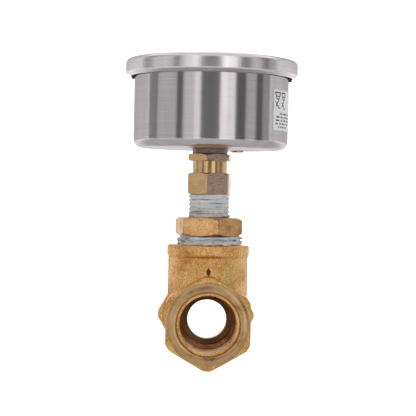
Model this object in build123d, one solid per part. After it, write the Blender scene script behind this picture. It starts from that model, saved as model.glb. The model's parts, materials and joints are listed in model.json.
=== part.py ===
from build123d import *
import os
from math import cos, radians, sin, tan

# A 50 mm dial pressure gauge with a centre-back stem, screwed through a hexagon
# reducing bushing into the branch of a half-inch bronze tee.
# Millimetres. The origin is the mouth of the tee's inlet thread, on the run's axis.
# +Y runs down the tee's bore, +Z is up the gauge's axis and +X is to the right.

# --- Tee: run along Y, branch up Z at BRANCH_Y ---
BRANCH_Y = 24.0
INLET_HEX_FLATS = 27.6
INLET_HEX_LENGTH = 11.0
INLET_HEX_CORNER_R = 15.3
BEAD_INNER_R, BEAD_OUTER_R, BEAD_HEIGHT = 9.7, 13.4, 1.2
BARREL_R, BARREL_END_Y = 13.0, 37.0
TAIL_R, TAIL_END_Y = 10.8, 44.6
THROAT_R, THROAT_HALF_LENGTH = 6.6, 2.0
INLET_SHOULDER_R, OUTLET_BORE_R = 8.25, 8.9
BRANCH_R, BAND_R = 13.05, 13.9
BAND_BOTTOM_Z, BRANCH_TOP_Z = 21.2, 25.1
BRANCH_BORE_R, BRANCH_FLOOR_Z = 9.95, 12.0
TAPPING_R, TAPPING_Y = 2.5, 19.0
RIB_PROUD, RIB_WIDTH = 0.4, 1.2

# --- Pipe threads: crest and root radii of the visible form ---
HALF_PITCH, HALF_MINOR_R, HALF_MAJOR_R = 1.814, 9.32, 10.3
QUARTER_PITCH, QUARTER_ROOT_R, QUARTER_CREST_R = 1.411, 5.95, 6.75
THREE_QUARTER_MINOR_R, THREE_QUARTER_MAJOR_R = 12.1, 13.2
INLET_THREAD_LENGTH = 16.0
THREAD_LAND = 0.6
TAPE_GAP, TAPE_BUILD = 0.02, 0.2

# --- Swivel nut on the tee's tail ---
NUT_FLATS, NUT_CORNER_R = 30.0, 16.8
NUT_START_Y, NUT_END_Y = 39.0, 53.0
NUT_SHOULDER_Y, NUT_SHOULDER_R = 42.0, 10.9
NUT_THREAD_Y, NUT_RELIEF_R = 46.8, 13.3
RING_START_Y, RING_END_Y, RING_SEAT_R, RING_OUTER_R = 42.3, 43.5, 10.2, 11.8
RING_GAP_ANGLE = 30.0
WASHER_END_Y, WASHER_INNER_R, WASHER_OUTER_R = 46.4, 9.7, 11.9

# --- Reducing bushing ---
BUSHING_BOTTOM_Z, BUSHING_HEX_Z, BUSHING_TOP_Z = 14.0, 28.2, 34.3
BUSHING_FLATS, BUSHING_CORNER_R, BUSHING_CLOCK = 20.5, 11.75, 42.9
BUSHING_SHANK_R, BUSHING_BORE_R, BUSHING_SEAT_R, BUSHING_SEAT_Z = 9.9, 6.33, 5.0, 22.0

# --- Gauge stem ---
STEM_BOTTOM_Z, STEM_HEX_Z, STEM_HEX_TOP_Z = 24.0, 42.1, 49.35
NECK_R, THIN_HEX_Z, THIN_HEX_TOP_Z = 5.85, 53.25, 55.7
STEM_SHANK_R, STEM_FLATS, STEM_CORNER_R, STEM_CLOCK = 6.3, 13.9, 7.85, 21.6
COLLAR_R, SPIGOT_R, SPIGOT_TOP_Z = 5.95, 4.0, 62.6
STEM_BORE_R, RESTRICTOR_R, RESTRICTOR_SEAT_Z = 1.5, 2.5, 30.0

# --- Case, bezel and window ---
CASE_FLOOR_Z, CASE_R, CASE_SHEET, CASE_CORNER_R = 57.5, 26.2, 0.6, 2.0
CASE_FLANGE_R, CASE_FLANGE_Z = 27.6, 82.4
BEZEL_R, BEZEL_LIP_Z, BEZEL_SHOULDER_Z, BEZEL_TOP_Z = 29.15, 81.4, 87.4, 87.8
WINDOW_R, WINDOW_Z, WINDOW_THICK = 27.8, 84.0, 2.2
VENT_X, VENT_Y, VENT_HEAD_R, VENT_SHANK_R = 9.7, 14.0, 2.2, 1.5
LABEL_BOTTOM_Z, LABEL_TOP_Z, LABEL_THICK = 63.0, 76.4, 0.12
LABEL_START_ANGLE, LABEL_SWEEP = -38.0, 66.0

# --- Tube socket and Bourdon tube ---
SOCKET_R, SOCKET_BOTTOM_Z, SOCKET_TOP_Z = 7.0, 58.6, 66.5
SOCKET_ARM_WIDTH, SOCKET_ARM_TOP_Z, CAVITY_R, CAVITY_TOP_Z = 7.0, 65.0, 3.0, 64.4
TUBE_R, TUBE_Z, TUBE_TALL, TUBE_WIDE, TUBE_WALL = 19.0, 66.0, 7.0, 2.2, 0.4
TUBE_TIP_ANGLE, TUBE_SWEEP = 10.0, 250.0
ROOT_BLOCK_SWEEP, ROOT_INNER_R, ROOT_OUTER_R, ROOT_TOP_Z = 14.0, 16.6, 21.4, 70.0
CHANNEL_R, CHANNEL_Z = 0.6, 63.7

# --- Movement: pinion on the gauge's axis, sector arbor CENTRES in front of it ---
MODULE = 0.25
PINION_TEETH, SECTOR_TEETH, SECTOR_TEETH_CUT = 10, 90, 11
CENTRES = MODULE * (PINION_TEETH + SECTOR_TEETH) / 2
SECTOR_REST_ANGLE = 75.0
TAIL_LENGTH = 6.0
PLATE_HALF_WIDTH, PLATE_FRONT_Y, PLATE_BACK_Y, PLATE_CORNER_R = 7.2, -16.0, 7.5, 2.5
PLATE_THICK, BOTTOM_PLATE_Z, TOP_PLATE_Z = 1.0, 66.5, 73.0
PILLARS = ((-5.5, -13.8), (-5.6, 5.9), (5.6, 5.9))
PILLAR_R, RIVET_R, PILLAR_SCREW_R = 1.2, 0.7, 0.6
SOCKET_SCREWS = ((-5.3, 0.0), (5.3, 0.0))
JOURNAL_R, PINION_TOP_JOURNAL_R, ARBOR_R, JOURNAL_PLAY = 0.5, 0.6, 0.8, 0.04
SECTOR_Z, SECTOR_THICK, SECTOR_HUB_R = 69.6, 0.8, 2.0
PINION_Z, PINION_TOP_Z = 69.2, 70.9
LINK_Z, LINK_THICK, LINK_HALF_WIDTH = 70.7, 0.4, 0.8
LINK_PIN_R, TIP_PIN_R, TIP_HOLE_R = 0.5, 0.4, 0.6
TIP_PIN_X, TIP_PIN_Y = 15.6, 2.6
LUG_Z, LUG_THICK = 69.8, 0.7

# --- Hairspring ---
COLLET_R, COLLET_Z, COLLET_TALL = 1.3, 71.6, 1.0
SPRING_INNER_R, SPRING_OUTER_R, SPRING_TURNS = 1.4, 4.4, 4
SPRING_THICK, SPRING_Z, SPRING_TALL = 0.12, 71.9, 0.5
SPRING_END_ANGLE, STUD_R = 130.0, 0.4

# --- Dial and pointer ---
DIAL_R, DIAL_Z, DIAL_THICK, DIAL_HOLE_R = 24.8, 79.0, 0.5, 1.6
DIAL_POSTS = ((-6.0, 0.0), (6.0, 0.0))
POST_R, DIAL_SCREW_R = 1.1, 0.5
POINTER_REST_ANGLE, POINTER_Z, POINTER_THICK = 225.0, 80.8, 0.4
POINTER_LENGTH, POINTER_TAIL, POINTER_HALF_WIDTH = 20.5, 7.0, 0.9
HUB_R, HUB_Z, HUB_TOP_Z, ARBOR_TOP_Z = 1.5, 80.1, 82.0, 82.2
STOP_DISTANCE, STOP_R, STOP_GAP = 12.0, 0.4, 0.05
SCREW_HEAD_TALL, SCREW_HEAD_R = 0.6, 1.15


# ---------- Shapes shared by several pieces ----------

def polar(radius, angle):
    """The point at a radius and an angle in degrees, anticlockwise from +X."""
    return radius * cos(radians(angle)), radius * sin(radians(angle))


def turned(*corners, arc=360.0, start=0.0):
    """A solid of revolution about Z. Each corner is (radius, height) or (radius, height, rounding)."""
    points = [corner[:2] for corner in corners]
    roundings = [corner[2] if len(corner) > 2 else 0.0 for corner in corners]
    outline = FilletPolyline(*points, radius=roundings, close=True)
    section = Plane.XZ * make_face(outline)
    return Rot(0, 0, start) * revolve(section, Axis.Z, arc)


def disc(radius, bottom, top):
    """A plain cylinder about Z."""
    return turned((0, bottom), (radius, bottom), (radius, top), (0, top))


def ring(inner, outer, bottom, top):
    """A plain ring about Z."""
    return turned((inner, bottom), (outer, bottom), (outer, top), (inner, top))


def along_run(solid):
    """Lays a solid made about Z along the tee's run, heights becoming distances down the bore."""
    return Rot(-90, 0, 0) * solid


def on_gauge(solid):
    """Stands a solid made about Z on the gauge's axis."""
    return Pos(0, BRANCH_Y, 0) * solid


def thread_wall(crest, root, pitch, start, end):
    """Corners up a threaded wall: crest lands with V grooves between them."""
    half_groove = (pitch - THREAD_LAND) / 2
    grooves = int((end - start - THREAD_LAND) / pitch)
    corners = [(crest, start)]
    for turn in range(grooves):
        middle = start + THREAD_LAND + half_groove + turn * pitch
        corners += [(crest, middle - half_groove), (root, middle), (crest, middle + half_groove)]
    return corners + [(crest, end)]


def hexagon(flats, corner_r, bottom, top, clock):
    """A hexagon whose corners are turned off at both ends, with one corner at the angle clock."""
    vertices = [polar(flats / 2 / cos(radians(30)), clock + 60 * side) for side in range(6)]
    prism = Pos(0, 0, bottom) * extrude(make_face(Polyline(*vertices, close=True)), top - bottom)
    drop = (corner_r - flats / 2) * tan(radians(30))
    blank = turned(
        (0, bottom), (flats / 2, bottom), (corner_r, bottom + drop),
        (corner_r, top - drop), (flats / 2, top), (0, top),
    )
    return prism & blank


def slotted_screw(head_r, shank_r, shank_length):
    """A cheese-head screw with its seat at z 0 and its shank below."""
    shank = disc(shank_r, -shank_length, 0)
    head = turned((0, 0), (head_r, 0), (head_r, SCREW_HEAD_TALL, 0.15), (0, SCREW_HEAD_TALL))
    slot = Pos(0, 0, SCREW_HEAD_TALL) * Box(3 * head_r, 0.3, SCREW_HEAD_TALL)
    return shank + head - slot


def at_places(solid, places, height=0.0):
    """Copies of a solid as separate solids at (x, y) places on the gauge."""
    return Compound(children=[Pos(x, BRANCH_Y + y, height) * solid for x, y in places])


def gear_teeth(teeth, count, first_angle):
    """Corners round a run of straight-sided teeth, from first_angle anticlockwise."""
    pitch_r = MODULE * teeth / 2
    tip_r, root_r = pitch_r + 0.8 * MODULE, pitch_r - 1.15 * MODULE
    step = 360 / teeth
    # a tooth fills less than half of the pitch, which is the gears' backlash
    tip, flank, foot = (degrees_at(width, pitch_r) for width in (0.15, 0.4, 0.62))
    corners = []
    for tooth in range(count):
        middle = first_angle + tooth * step
        corners += [
            polar(root_r, middle - foot / 2), polar(pitch_r, middle - flank / 2),
            polar(tip_r, middle - tip / 2), polar(tip_r, middle + tip / 2),
            polar(pitch_r, middle + flank / 2), polar(root_r, middle + foot / 2),
        ]
    return corners


def degrees_at(share, pitch_r):
    """The angle of a share of one circular pitch on a gear's pitch circle."""
    return share * 180 * MODULE / pitch_r


# ---------- Tee, swivel nut and bushing ----------

def tee_body():
    """Cast tee: hexagon inlet with a bead round its mouth, barrel, tail and banded branch."""
    run = hexagon(INLET_HEX_FLATS, INLET_HEX_CORNER_R, 0, INLET_HEX_LENGTH, clock=30)
    run += turned(
        (BEAD_INNER_R, 1), (BEAD_OUTER_R, 1),
        (BEAD_OUTER_R, -BEAD_HEIGHT, 1.1), (BEAD_INNER_R, -BEAD_HEIGHT, 1.1),
    )
    run += turned(
        (0, INLET_HEX_LENGTH - 1), (BARREL_R, INLET_HEX_LENGTH - 1),
        (BARREL_R, BARREL_END_Y, 1.2), (TAIL_R, BARREL_END_Y),
        (TAIL_R, RING_START_Y), (RING_SEAT_R, RING_START_Y), (RING_SEAT_R, RING_END_Y),
        (TAIL_R, RING_END_Y), (TAIL_R, TAIL_END_Y), (0, TAIL_END_Y),
    )
    branch = turned(
        (0, 0), (BRANCH_R, 0), (BRANCH_R, BAND_BOTTOM_Z), (BAND_R, BAND_BOTTOM_Z, 0.6),
        (BAND_R, BRANCH_TOP_Z, 0.6), (0, BRANCH_TOP_Z),
    )
    ribs = Pos(0, BRANCH_Y, BAND_BOTTOM_Z / 2) * Box(
        2 * (BRANCH_R + RIB_PROUD), RIB_WIDTH, BAND_BOTTOM_Z
    )
    return along_run(run) + on_gauge(branch) + ribs - run_bore() - branch_bore() - tapping_hole()


def run_bore():
    """The waterway: threaded inlet, shoulder, narrow throat under the branch and outlet bore."""
    throat_start = BRANCH_Y - THROAT_HALF_LENGTH
    throat_end = BRANCH_Y + THROAT_HALF_LENGTH
    beyond = 5.0
    countersink = 0.6
    return along_run(turned(
        (0, -beyond), (BEAD_INNER_R + 0.2, -beyond), (BEAD_INNER_R + 0.2, -countersink),
        *thread_wall(HALF_MINOR_R, HALF_MAJOR_R, HALF_PITCH, 0, INLET_THREAD_LENGTH),
        (INLET_SHOULDER_R, INLET_THREAD_LENGTH + 0.6), (INLET_SHOULDER_R, throat_start - 0.6),
        (THROAT_R, throat_start), (THROAT_R, throat_end), (OUTLET_BORE_R, throat_end + 0.6),
        (OUTLET_BORE_R, TAIL_END_Y + beyond), (0, TAIL_END_Y + beyond),
    ))


def branch_bore():
    """The bushing's socket in the branch, with a short lead-in."""
    lead = 0.4
    return on_gauge(turned(
        (0, BRANCH_FLOOR_Z), (BRANCH_BORE_R, BRANCH_FLOOR_Z), (BRANCH_BORE_R, BRANCH_TOP_Z - lead),
        (BRANCH_BORE_R + lead, BRANCH_TOP_Z), (BRANCH_BORE_R + lead, BRANCH_TOP_Z + 1),
        (0, BRANCH_TOP_Z + 1),
    ))


def tapping_hole():
    """The hole that takes the run's pressure up into the branch."""
    return Pos(0, TAPPING_Y, 0) * disc(TAPPING_R, THROAT_R / 2, BRANCH_FLOOR_Z + 1)


def swivel_nut():
    """Captive hexagon nut: a shoulder behind the retaining ring, a relief and a female thread."""
    outside = hexagon(NUT_FLATS, NUT_CORNER_R, NUT_START_Y, NUT_END_Y, clock=0)
    inside = turned(
        (0, NUT_START_Y - 1), (NUT_SHOULDER_R, NUT_START_Y - 1), (NUT_SHOULDER_R, NUT_SHOULDER_Y),
        (NUT_RELIEF_R, NUT_SHOULDER_Y), (NUT_RELIEF_R, NUT_THREAD_Y - 0.5),
        *thread_wall(
            THREE_QUARTER_MINOR_R, THREE_QUARTER_MAJOR_R, HALF_PITCH, NUT_THREAD_Y, NUT_END_Y
        ),
        (THREE_QUARTER_MINOR_R, NUT_END_Y + 1), (0, NUT_END_Y + 1),
    )
    return along_run(outside - inside)


def nut_retaining_ring():
    """Snap ring in the tail's groove, open at the bottom."""
    return along_run(turned(
        (RING_SEAT_R, RING_START_Y), (RING_OUTER_R, RING_START_Y),
        (RING_OUTER_R, RING_END_Y), (RING_SEAT_R, RING_END_Y),
        arc=360 - RING_GAP_ANGLE, start=90 + RING_GAP_ANGLE / 2,
    ))


def nut_washer():
    return along_run(ring(WASHER_INNER_R, WASHER_OUTER_R, TAIL_END_Y, WASHER_END_Y))


def reducing_bushing():
    """Hexagon bushing: male thread into the branch, female socket for the gauge's stem."""
    hex_head = hexagon(
        BUSHING_FLATS, BUSHING_CORNER_R, BUSHING_HEX_Z, BUSHING_TOP_Z, clock=BUSHING_CLOCK
    )
    shank = turned(
        (0, BUSHING_BOTTOM_Z), (BUSHING_SHANK_R, BUSHING_BOTTOM_Z, 0.5),
        (BUSHING_SHANK_R, BRANCH_TOP_Z),
        *thread_wall(HALF_MAJOR_R, HALF_MINOR_R, HALF_PITCH, BRANCH_TOP_Z, BUSHING_HEX_Z),
        (0, BUSHING_HEX_Z),
    )
    socket = turned(
        (0, BUSHING_BOTTOM_Z - 1), (BUSHING_SEAT_R, BUSHING_BOTTOM_Z - 1),
        (BUSHING_SEAT_R, BUSHING_SEAT_Z), (BUSHING_BORE_R, BUSHING_SEAT_Z),
        (BUSHING_BORE_R, BUSHING_TOP_Z + 1), (0, BUSHING_TOP_Z + 1),
    )
    return on_gauge(hex_head + shank - socket)


def thread_tape(crest, root, pitch, bottom, top):
    """A sleeve of wound tape that follows the thread it lies on."""
    inner = thread_wall(crest + TAPE_GAP, root + TAPE_GAP, pitch, bottom, top)
    outer = thread_wall(crest + TAPE_BUILD, root + TAPE_BUILD, pitch, bottom, top)
    return on_gauge(turned(*inner, *reversed(outer)))


# ---------- Gauge stem ----------

def gauge_stem():
    """Stem with its pipe thread, thick wrench hexagon, neck, thin hexagon, collar and spigot."""
    core = turned(
        (0, STEM_BOTTOM_Z), (STEM_SHANK_R, STEM_BOTTOM_Z, 0.6), (STEM_SHANK_R, BUSHING_TOP_Z),
        *thread_wall(
            QUARTER_CREST_R, QUARTER_ROOT_R, QUARTER_PITCH, BUSHING_TOP_Z, STEM_HEX_Z
        ),
        (NECK_R, STEM_HEX_Z), (NECK_R, THIN_HEX_TOP_Z), (COLLAR_R, THIN_HEX_TOP_Z),
        (COLLAR_R, CASE_FLOOR_Z), (SPIGOT_R, CASE_FLOOR_Z), (SPIGOT_R, SPIGOT_TOP_Z, 0.3),
        (0, SPIGOT_TOP_Z),
    )
    thick_hex = hexagon(STEM_FLATS, STEM_CORNER_R, STEM_HEX_Z, STEM_HEX_TOP_Z, clock=STEM_CLOCK)
    thin_hex = hexagon(STEM_FLATS, STEM_CORNER_R, THIN_HEX_Z, THIN_HEX_TOP_Z, clock=STEM_CLOCK)
    bore = disc(STEM_BORE_R, STEM_BOTTOM_Z - 1, SPIGOT_TOP_Z + 1)
    bore += disc(RESTRICTOR_R, STEM_BOTTOM_Z - 1, RESTRICTOR_SEAT_Z)
    return on_gauge(core + thick_hex + thin_hex - bore)


def restrictor_screw():
    """Throttle screw in the stem's inlet: a fine hole and a driver slot."""
    play = 0.04
    orifice_r = 0.4
    bottom = STEM_BOTTOM_Z + 0.8
    slot = Pos(0, 0, bottom) * Box(4 * RESTRICTOR_R, 0.7, 1.6)
    return on_gauge(ring(orifice_r, RESTRICTOR_R - play, bottom, RESTRICTOR_SEAT_Z - 1) - slot)


# ---------- Case, bezel, window ----------

def case():
    """Drawn cup with an outward flange at its mouth and holes for the spigot and the vent plug."""
    play = 0.1
    inner_r = CASE_R - CASE_SHEET
    flange_top = CASE_FLANGE_Z + CASE_SHEET
    cup = turned(
        (SPIGOT_R + play, CASE_FLOOR_Z), (CASE_R, CASE_FLOOR_Z, CASE_CORNER_R),
        (CASE_R, CASE_FLANGE_Z), (CASE_FLANGE_R, CASE_FLANGE_Z), (CASE_FLANGE_R, flange_top),
        (inner_r, flange_top), (inner_r, CASE_FLOOR_Z + CASE_SHEET, CASE_CORNER_R - CASE_SHEET),
        (SPIGOT_R + play, CASE_FLOOR_Z + CASE_SHEET),
    )
    vent_hole = Pos(VENT_X, VENT_Y, 0) * disc(VENT_SHANK_R, CASE_FLOOR_Z - 1, CASE_FLOOR_Z + 1)
    return on_gauge(cup - vent_hole)


def case_seal_washer():
    return on_gauge(ring(SPIGOT_R + 0.1, SOCKET_R, CASE_FLOOR_Z + CASE_SHEET, SOCKET_BOTTOM_Z))


def vent_plug():
    """Push-in plug: a head under the floor, a shank through it and a lip inside."""
    inside = CASE_FLOOR_Z + CASE_SHEET
    lip = 0.6
    plug = turned(
        (0, CASE_FLOOR_Z - lip), (VENT_HEAD_R, CASE_FLOOR_Z - lip, 0.3),
        (VENT_HEAD_R, CASE_FLOOR_Z), (VENT_SHANK_R, CASE_FLOOR_Z), (VENT_SHANK_R, inside),
        (VENT_SHANK_R + 0.4, inside), (VENT_SHANK_R, inside + lip), (0, inside + lip),
    )
    return on_gauge(Pos(VENT_X, VENT_Y, 0) * plug)


def bezel_gasket():
    """U-section rubber round the case's flange, its lower edge showing under the bezel's lip."""
    play = 0.02
    return on_gauge(turned(
        (CASE_R + play, BEZEL_LIP_Z - 0.7), (27.15, BEZEL_LIP_Z - 0.7, 0.3),
        (27.15, BEZEL_LIP_Z + 0.65), (28.5, BEZEL_LIP_Z + 1.5), (28.5, WINDOW_Z),
        (CASE_R - CASE_SHEET, WINDOW_Z), (CASE_R - CASE_SHEET, CASE_FLANGE_Z + CASE_SHEET),
        (CASE_FLANGE_R + play, CASE_FLANGE_Z + CASE_SHEET), (CASE_FLANGE_R + play, CASE_FLANGE_Z),
        (CASE_R + play, CASE_FLANGE_Z),
    ))


def bezel_ring():
    """Rolled sheet ring: lip under the flange, plain wall, rounded shoulder and an inner bead."""
    wall_inner = BEZEL_R - CASE_SHEET
    foot_z = WINDOW_Z + WINDOW_THICK + 0.05
    return on_gauge(turned(
        (27.3, BEZEL_LIP_Z), (BEZEL_R, BEZEL_LIP_Z + 1.1, 0.6),
        (BEZEL_R, BEZEL_SHOULDER_Z, 1.7), (25.9, BEZEL_TOP_Z, 0.4), (24.9, BEZEL_TOP_Z - 0.2, 0.3),
        (24.7, foot_z), (25.3, foot_z), (25.5, BEZEL_TOP_Z - 0.7, 0.2),
        (wall_inner, BEZEL_SHOULDER_Z - 0.5, 1.2), (wall_inner, BEZEL_LIP_Z + 1.45, 0.2),
        (27.2, BEZEL_LIP_Z + 0.6),
    ))


def window():
    return on_gauge(turned(
        (0, WINDOW_Z), (WINDOW_R, WINDOW_Z), (WINDOW_R, WINDOW_Z + WINDOW_THICK, 0.4),
        (0, WINDOW_Z + WINDOW_THICK),
    ))


def rating_label():
    """Thin sticker round the right of the case wall."""
    return on_gauge(turned(
        (CASE_R, LABEL_BOTTOM_Z), (CASE_R + LABEL_THICK, LABEL_BOTTOM_Z),
        (CASE_R + LABEL_THICK, LABEL_TOP_Z), (CASE_R, LABEL_TOP_Z),
        arc=LABEL_SWEEP, start=LABEL_START_ANGLE,
    ))


# ---------- Tube socket and Bourdon tube ----------

ROOT_ANGLE = TUBE_TIP_ANGLE + TUBE_SWEEP
ARM_ANGLE = ROOT_ANGLE + ROOT_BLOCK_SWEEP / 2


def tube_bore(sweep, start):
    """The space inside the flattened tube, over part of its circle."""
    section = SlotOverall(TUBE_TALL - 2 * TUBE_WALL, TUBE_WIDE - 2 * TUBE_WALL, rotation=90)
    return Rot(0, 0, start) * revolve(Plane.XZ * Pos(TUBE_R, TUBE_Z) * section, Axis.Z, sweep)


def tube_skin(sweep, start):
    """The flattened tube as if solid, over part of its circle."""
    section = SlotOverall(TUBE_TALL, TUBE_WIDE, rotation=90)
    return Rot(0, 0, start) * revolve(Plane.XZ * Pos(TUBE_R, TUBE_Z) * section, Axis.Z, sweep)


def radial_channel(inner_r, outer_r):
    """A drilling outwards along the socket's arm."""
    bar = Rot(0, 90, 0) * disc(CHANNEL_R, inner_r, outer_r)
    return Rot(0, 0, ARM_ANGLE) * Pos(0, 0, CHANNEL_Z) * bar


def tube_socket():
    """Brass block on the spigot, with an arm and an upright block that holds the tube's root."""
    block = disc(SOCKET_R, SOCKET_BOTTOM_Z, SOCKET_TOP_Z)
    arm_length = (ROOT_INNER_R + ROOT_OUTER_R) / 2
    arm_tall = SOCKET_ARM_TOP_Z - SOCKET_BOTTOM_Z
    arm = Rot(0, 0, ARM_ANGLE) * Pos(arm_length / 2, 0, SOCKET_BOTTOM_Z + arm_tall / 2) * Box(
        arm_length, SOCKET_ARM_WIDTH / 2, arm_tall
    )
    root = turned(
        (ROOT_INNER_R, SOCKET_BOTTOM_Z), (ROOT_OUTER_R, SOCKET_BOTTOM_Z),
        (ROOT_OUTER_R, ROOT_TOP_Z), (ROOT_INNER_R, ROOT_TOP_Z),
        arc=ROOT_BLOCK_SWEEP, start=ROOT_ANGLE,
    )
    socket = block + arm + root
    hollows = [
        disc(SPIGOT_R, SOCKET_BOTTOM_Z - 1, SPIGOT_TOP_Z),
        disc(CAVITY_R, SPIGOT_TOP_Z - 1, CAVITY_TOP_Z),
        radial_channel(CAVITY_R / 2, ROOT_OUTER_R + 1),
        tube_bore(ROOT_BLOCK_SWEEP * 0.6, ROOT_ANGLE),
    ]
    for x, y in SOCKET_SCREWS:
        hollows.append(Pos(x, y, 0) * disc(PILLAR_SCREW_R, SOCKET_TOP_Z - 2.5, SOCKET_TOP_Z + 1))
    for hollow in hollows:
        socket -= hollow
    return on_gauge(socket)


def socket_drill_plug():
    return on_gauge(radial_channel(ROOT_OUTER_R - 1.3, ROOT_OUTER_R))


def bourdon_tube():
    """Flattened tube bent through TUBE_SWEEP, open into the socket and closed by the tip block."""
    return on_gauge(
        tube_skin(TUBE_SWEEP, TUBE_TIP_ANGLE) - tube_bore(TUBE_SWEEP, TUBE_TIP_ANGLE)
    )


def tip_block():
    """End piece on the tube's tip, with a lug reaching in to the link."""
    wall = 0.7
    sweep = 7.0
    half_tall, half_wide = TUBE_TALL / 2 + wall, TUBE_WIDE / 2 + wall
    cap = turned(
        (TUBE_R - half_wide, TUBE_Z - half_tall), (TUBE_R + half_wide, TUBE_Z - half_tall),
        (TUBE_R + half_wide, LUG_Z + LUG_THICK), (TUBE_R - half_wide, LUG_Z + LUG_THICK),
        arc=sweep, start=TUBE_TIP_ANGLE - sweep,
    )
    reach = TUBE_R - TIP_PIN_X
    lug = Pos(TIP_PIN_X + reach / 2, TIP_PIN_Y, LUG_Z + LUG_THICK / 2) * Box(reach, 2, LUG_THICK)
    eye = Pos(TIP_PIN_X, TIP_PIN_Y, 0) * disc(1, LUG_Z, LUG_Z + LUG_THICK)
    hole = Pos(TIP_PIN_X, TIP_PIN_Y, 0) * disc(TIP_PIN_R, LUG_Z - 1, LUG_Z + 1)
    return on_gauge(cap + lug + eye - hole)


# ---------- Movement ----------

TAIL_PIN_X, TAIL_PIN_Y = polar(TAIL_LENGTH, SECTOR_REST_ANGLE - 90)
TAIL_PIN_Y -= CENTRES


def movement_plate(bottom, holes):
    """A movement plate, with holes as (x, y, radius)."""
    depth = PLATE_BACK_Y - PLATE_FRONT_Y
    outline = RectangleRounded(2 * PLATE_HALF_WIDTH, depth, PLATE_CORNER_R)
    plate = extrude(Pos(0, (PLATE_BACK_Y + PLATE_FRONT_Y) / 2) * outline, PLATE_THICK)
    cuts = [Pos(x, y, 0) * disc(radius, -1, PLATE_THICK + 1) for x, y, radius in holes]
    return on_gauge(Pos(0, 0, bottom) * (plate - cuts))


def movement_bottom_plate():
    pivots = [(0, 0, JOURNAL_R + JOURNAL_PLAY), (0, -CENTRES, JOURNAL_R + JOURNAL_PLAY)]
    rivets = [(x, y, RIVET_R) for x, y in PILLARS]
    screws = [(x, y, PILLAR_SCREW_R) for x, y in SOCKET_SCREWS]
    return movement_plate(BOTTOM_PLATE_Z, pivots + rivets + screws)


def movement_top_plate():
    pivots = [
        (0, 0, PINION_TOP_JOURNAL_R + JOURNAL_PLAY), (0, -CENTRES, JOURNAL_R + JOURNAL_PLAY)
    ]
    screws = [(x, y, PILLAR_SCREW_R) for x, y in PILLARS]
    rivets = [(x, y, RIVET_R) for x, y in DIAL_POSTS]
    return movement_plate(TOP_PLATE_Z, pivots + screws + rivets)


def movement_pillars():
    """Pillars riveted in the bottom plate and tapped at the top."""
    pillar = disc(RIVET_R, BOTTOM_PLATE_Z, BOTTOM_PLATE_Z + PLATE_THICK)
    pillar += disc(PILLAR_R, BOTTOM_PLATE_Z + PLATE_THICK, TOP_PLATE_Z)
    pillar -= disc(PILLAR_SCREW_R, TOP_PLATE_Z - 2, TOP_PLATE_Z + 1)
    return at_places(pillar, PILLARS)


def bottom_plate_screws():
    screw = slotted_screw(SCREW_HEAD_R, PILLAR_SCREW_R, shank_length=3.2)
    return at_places(screw, SOCKET_SCREWS, BOTTOM_PLATE_Z + PLATE_THICK)


def top_plate_screws():
    screw = slotted_screw(SCREW_HEAD_R, PILLAR_SCREW_R, shank_length=2.6)
    return at_places(screw, PILLARS, TOP_PLATE_Z + PLATE_THICK)


def dial_posts():
    """Posts riveted in the top plate and tapped at the top for the dial's screws."""
    post = disc(RIVET_R, TOP_PLATE_Z, TOP_PLATE_Z + PLATE_THICK)
    post += disc(POST_R, TOP_PLATE_Z + PLATE_THICK, DIAL_Z)
    post -= disc(DIAL_SCREW_R, DIAL_Z - 2, DIAL_Z + 1)
    return at_places(post, DIAL_POSTS)


def pinion_shaft():
    """Pinion and pointer arbor in one, with a journal in each plate and a tapered end."""
    shaft = turned(
        (0, BOTTOM_PLATE_Z + 0.1), (JOURNAL_R, BOTTOM_PLATE_Z + 0.1),
        (JOURNAL_R, BOTTOM_PLATE_Z + PLATE_THICK + 0.05),
        (ARBOR_R, BOTTOM_PLATE_Z + PLATE_THICK + 0.05), (ARBOR_R, TOP_PLATE_Z - 0.05),
        (PINION_TOP_JOURNAL_R, TOP_PLATE_Z - 0.05), (PINION_TOP_JOURNAL_R, HUB_Z),
        (JOURNAL_R, ARBOR_TOP_Z), (0, ARBOR_TOP_Z),
    )
    # at rest a gap between two teeth faces the sector, which is on the -Y side
    half_step = 180 / PINION_TEETH
    corners = gear_teeth(PINION_TEETH, PINION_TEETH, -90 + half_step)
    teeth = extrude(make_face(Polyline(*corners, close=True)), PINION_TOP_Z - PINION_Z)
    return on_gauge(shaft + Pos(0, 0, PINION_Z) * teeth)


def sector_gear():
    """Toothed sector with a hub, two windows' worth of arms and a tail for the link."""
    step = 360 / SECTOR_TEETH
    # at rest one tooth stands on the line of centres, and the rest of the swing follows it
    last_tooth = 90 + step
    first_tooth = last_tooth - (SECTOR_TEETH_CUT - 1) * step
    rim_r = MODULE * SECTOR_TEETH / 2 - 1.15 * MODULE
    corners = gear_teeth(SECTOR_TEETH, SECTOR_TEETH_CUT, first_tooth)
    fan = make_face(Polyline((0, 0), *corners, close=True))
    eye_r = 1.4
    lightening = [
        Pos(*polar(0.62 * rim_r, SECTOR_REST_ANGLE + side * 8.5)) * Circle(1.0) for side in (-1, 1)
    ]
    tail_x, tail_y = polar(TAIL_LENGTH, SECTOR_REST_ANGLE - 90)
    tail = make_hull([*Circle(SECTOR_HUB_R).edges(), *(Pos(tail_x, tail_y) * Circle(eye_r)).edges()])
    outline = fan + Circle(SECTOR_HUB_R) + tail - lightening
    outline -= [Circle(ARBOR_R), Pos(tail_x, tail_y) * Circle(LINK_PIN_R)]
    sheet = extrude(outline, SECTOR_THICK)
    boss = ring(ARBOR_R, SECTOR_HUB_R - 0.5, -0.6, SECTOR_THICK + 0.6)
    return on_gauge(Pos(0, -CENTRES, SECTOR_Z) * (sheet + boss))


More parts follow.
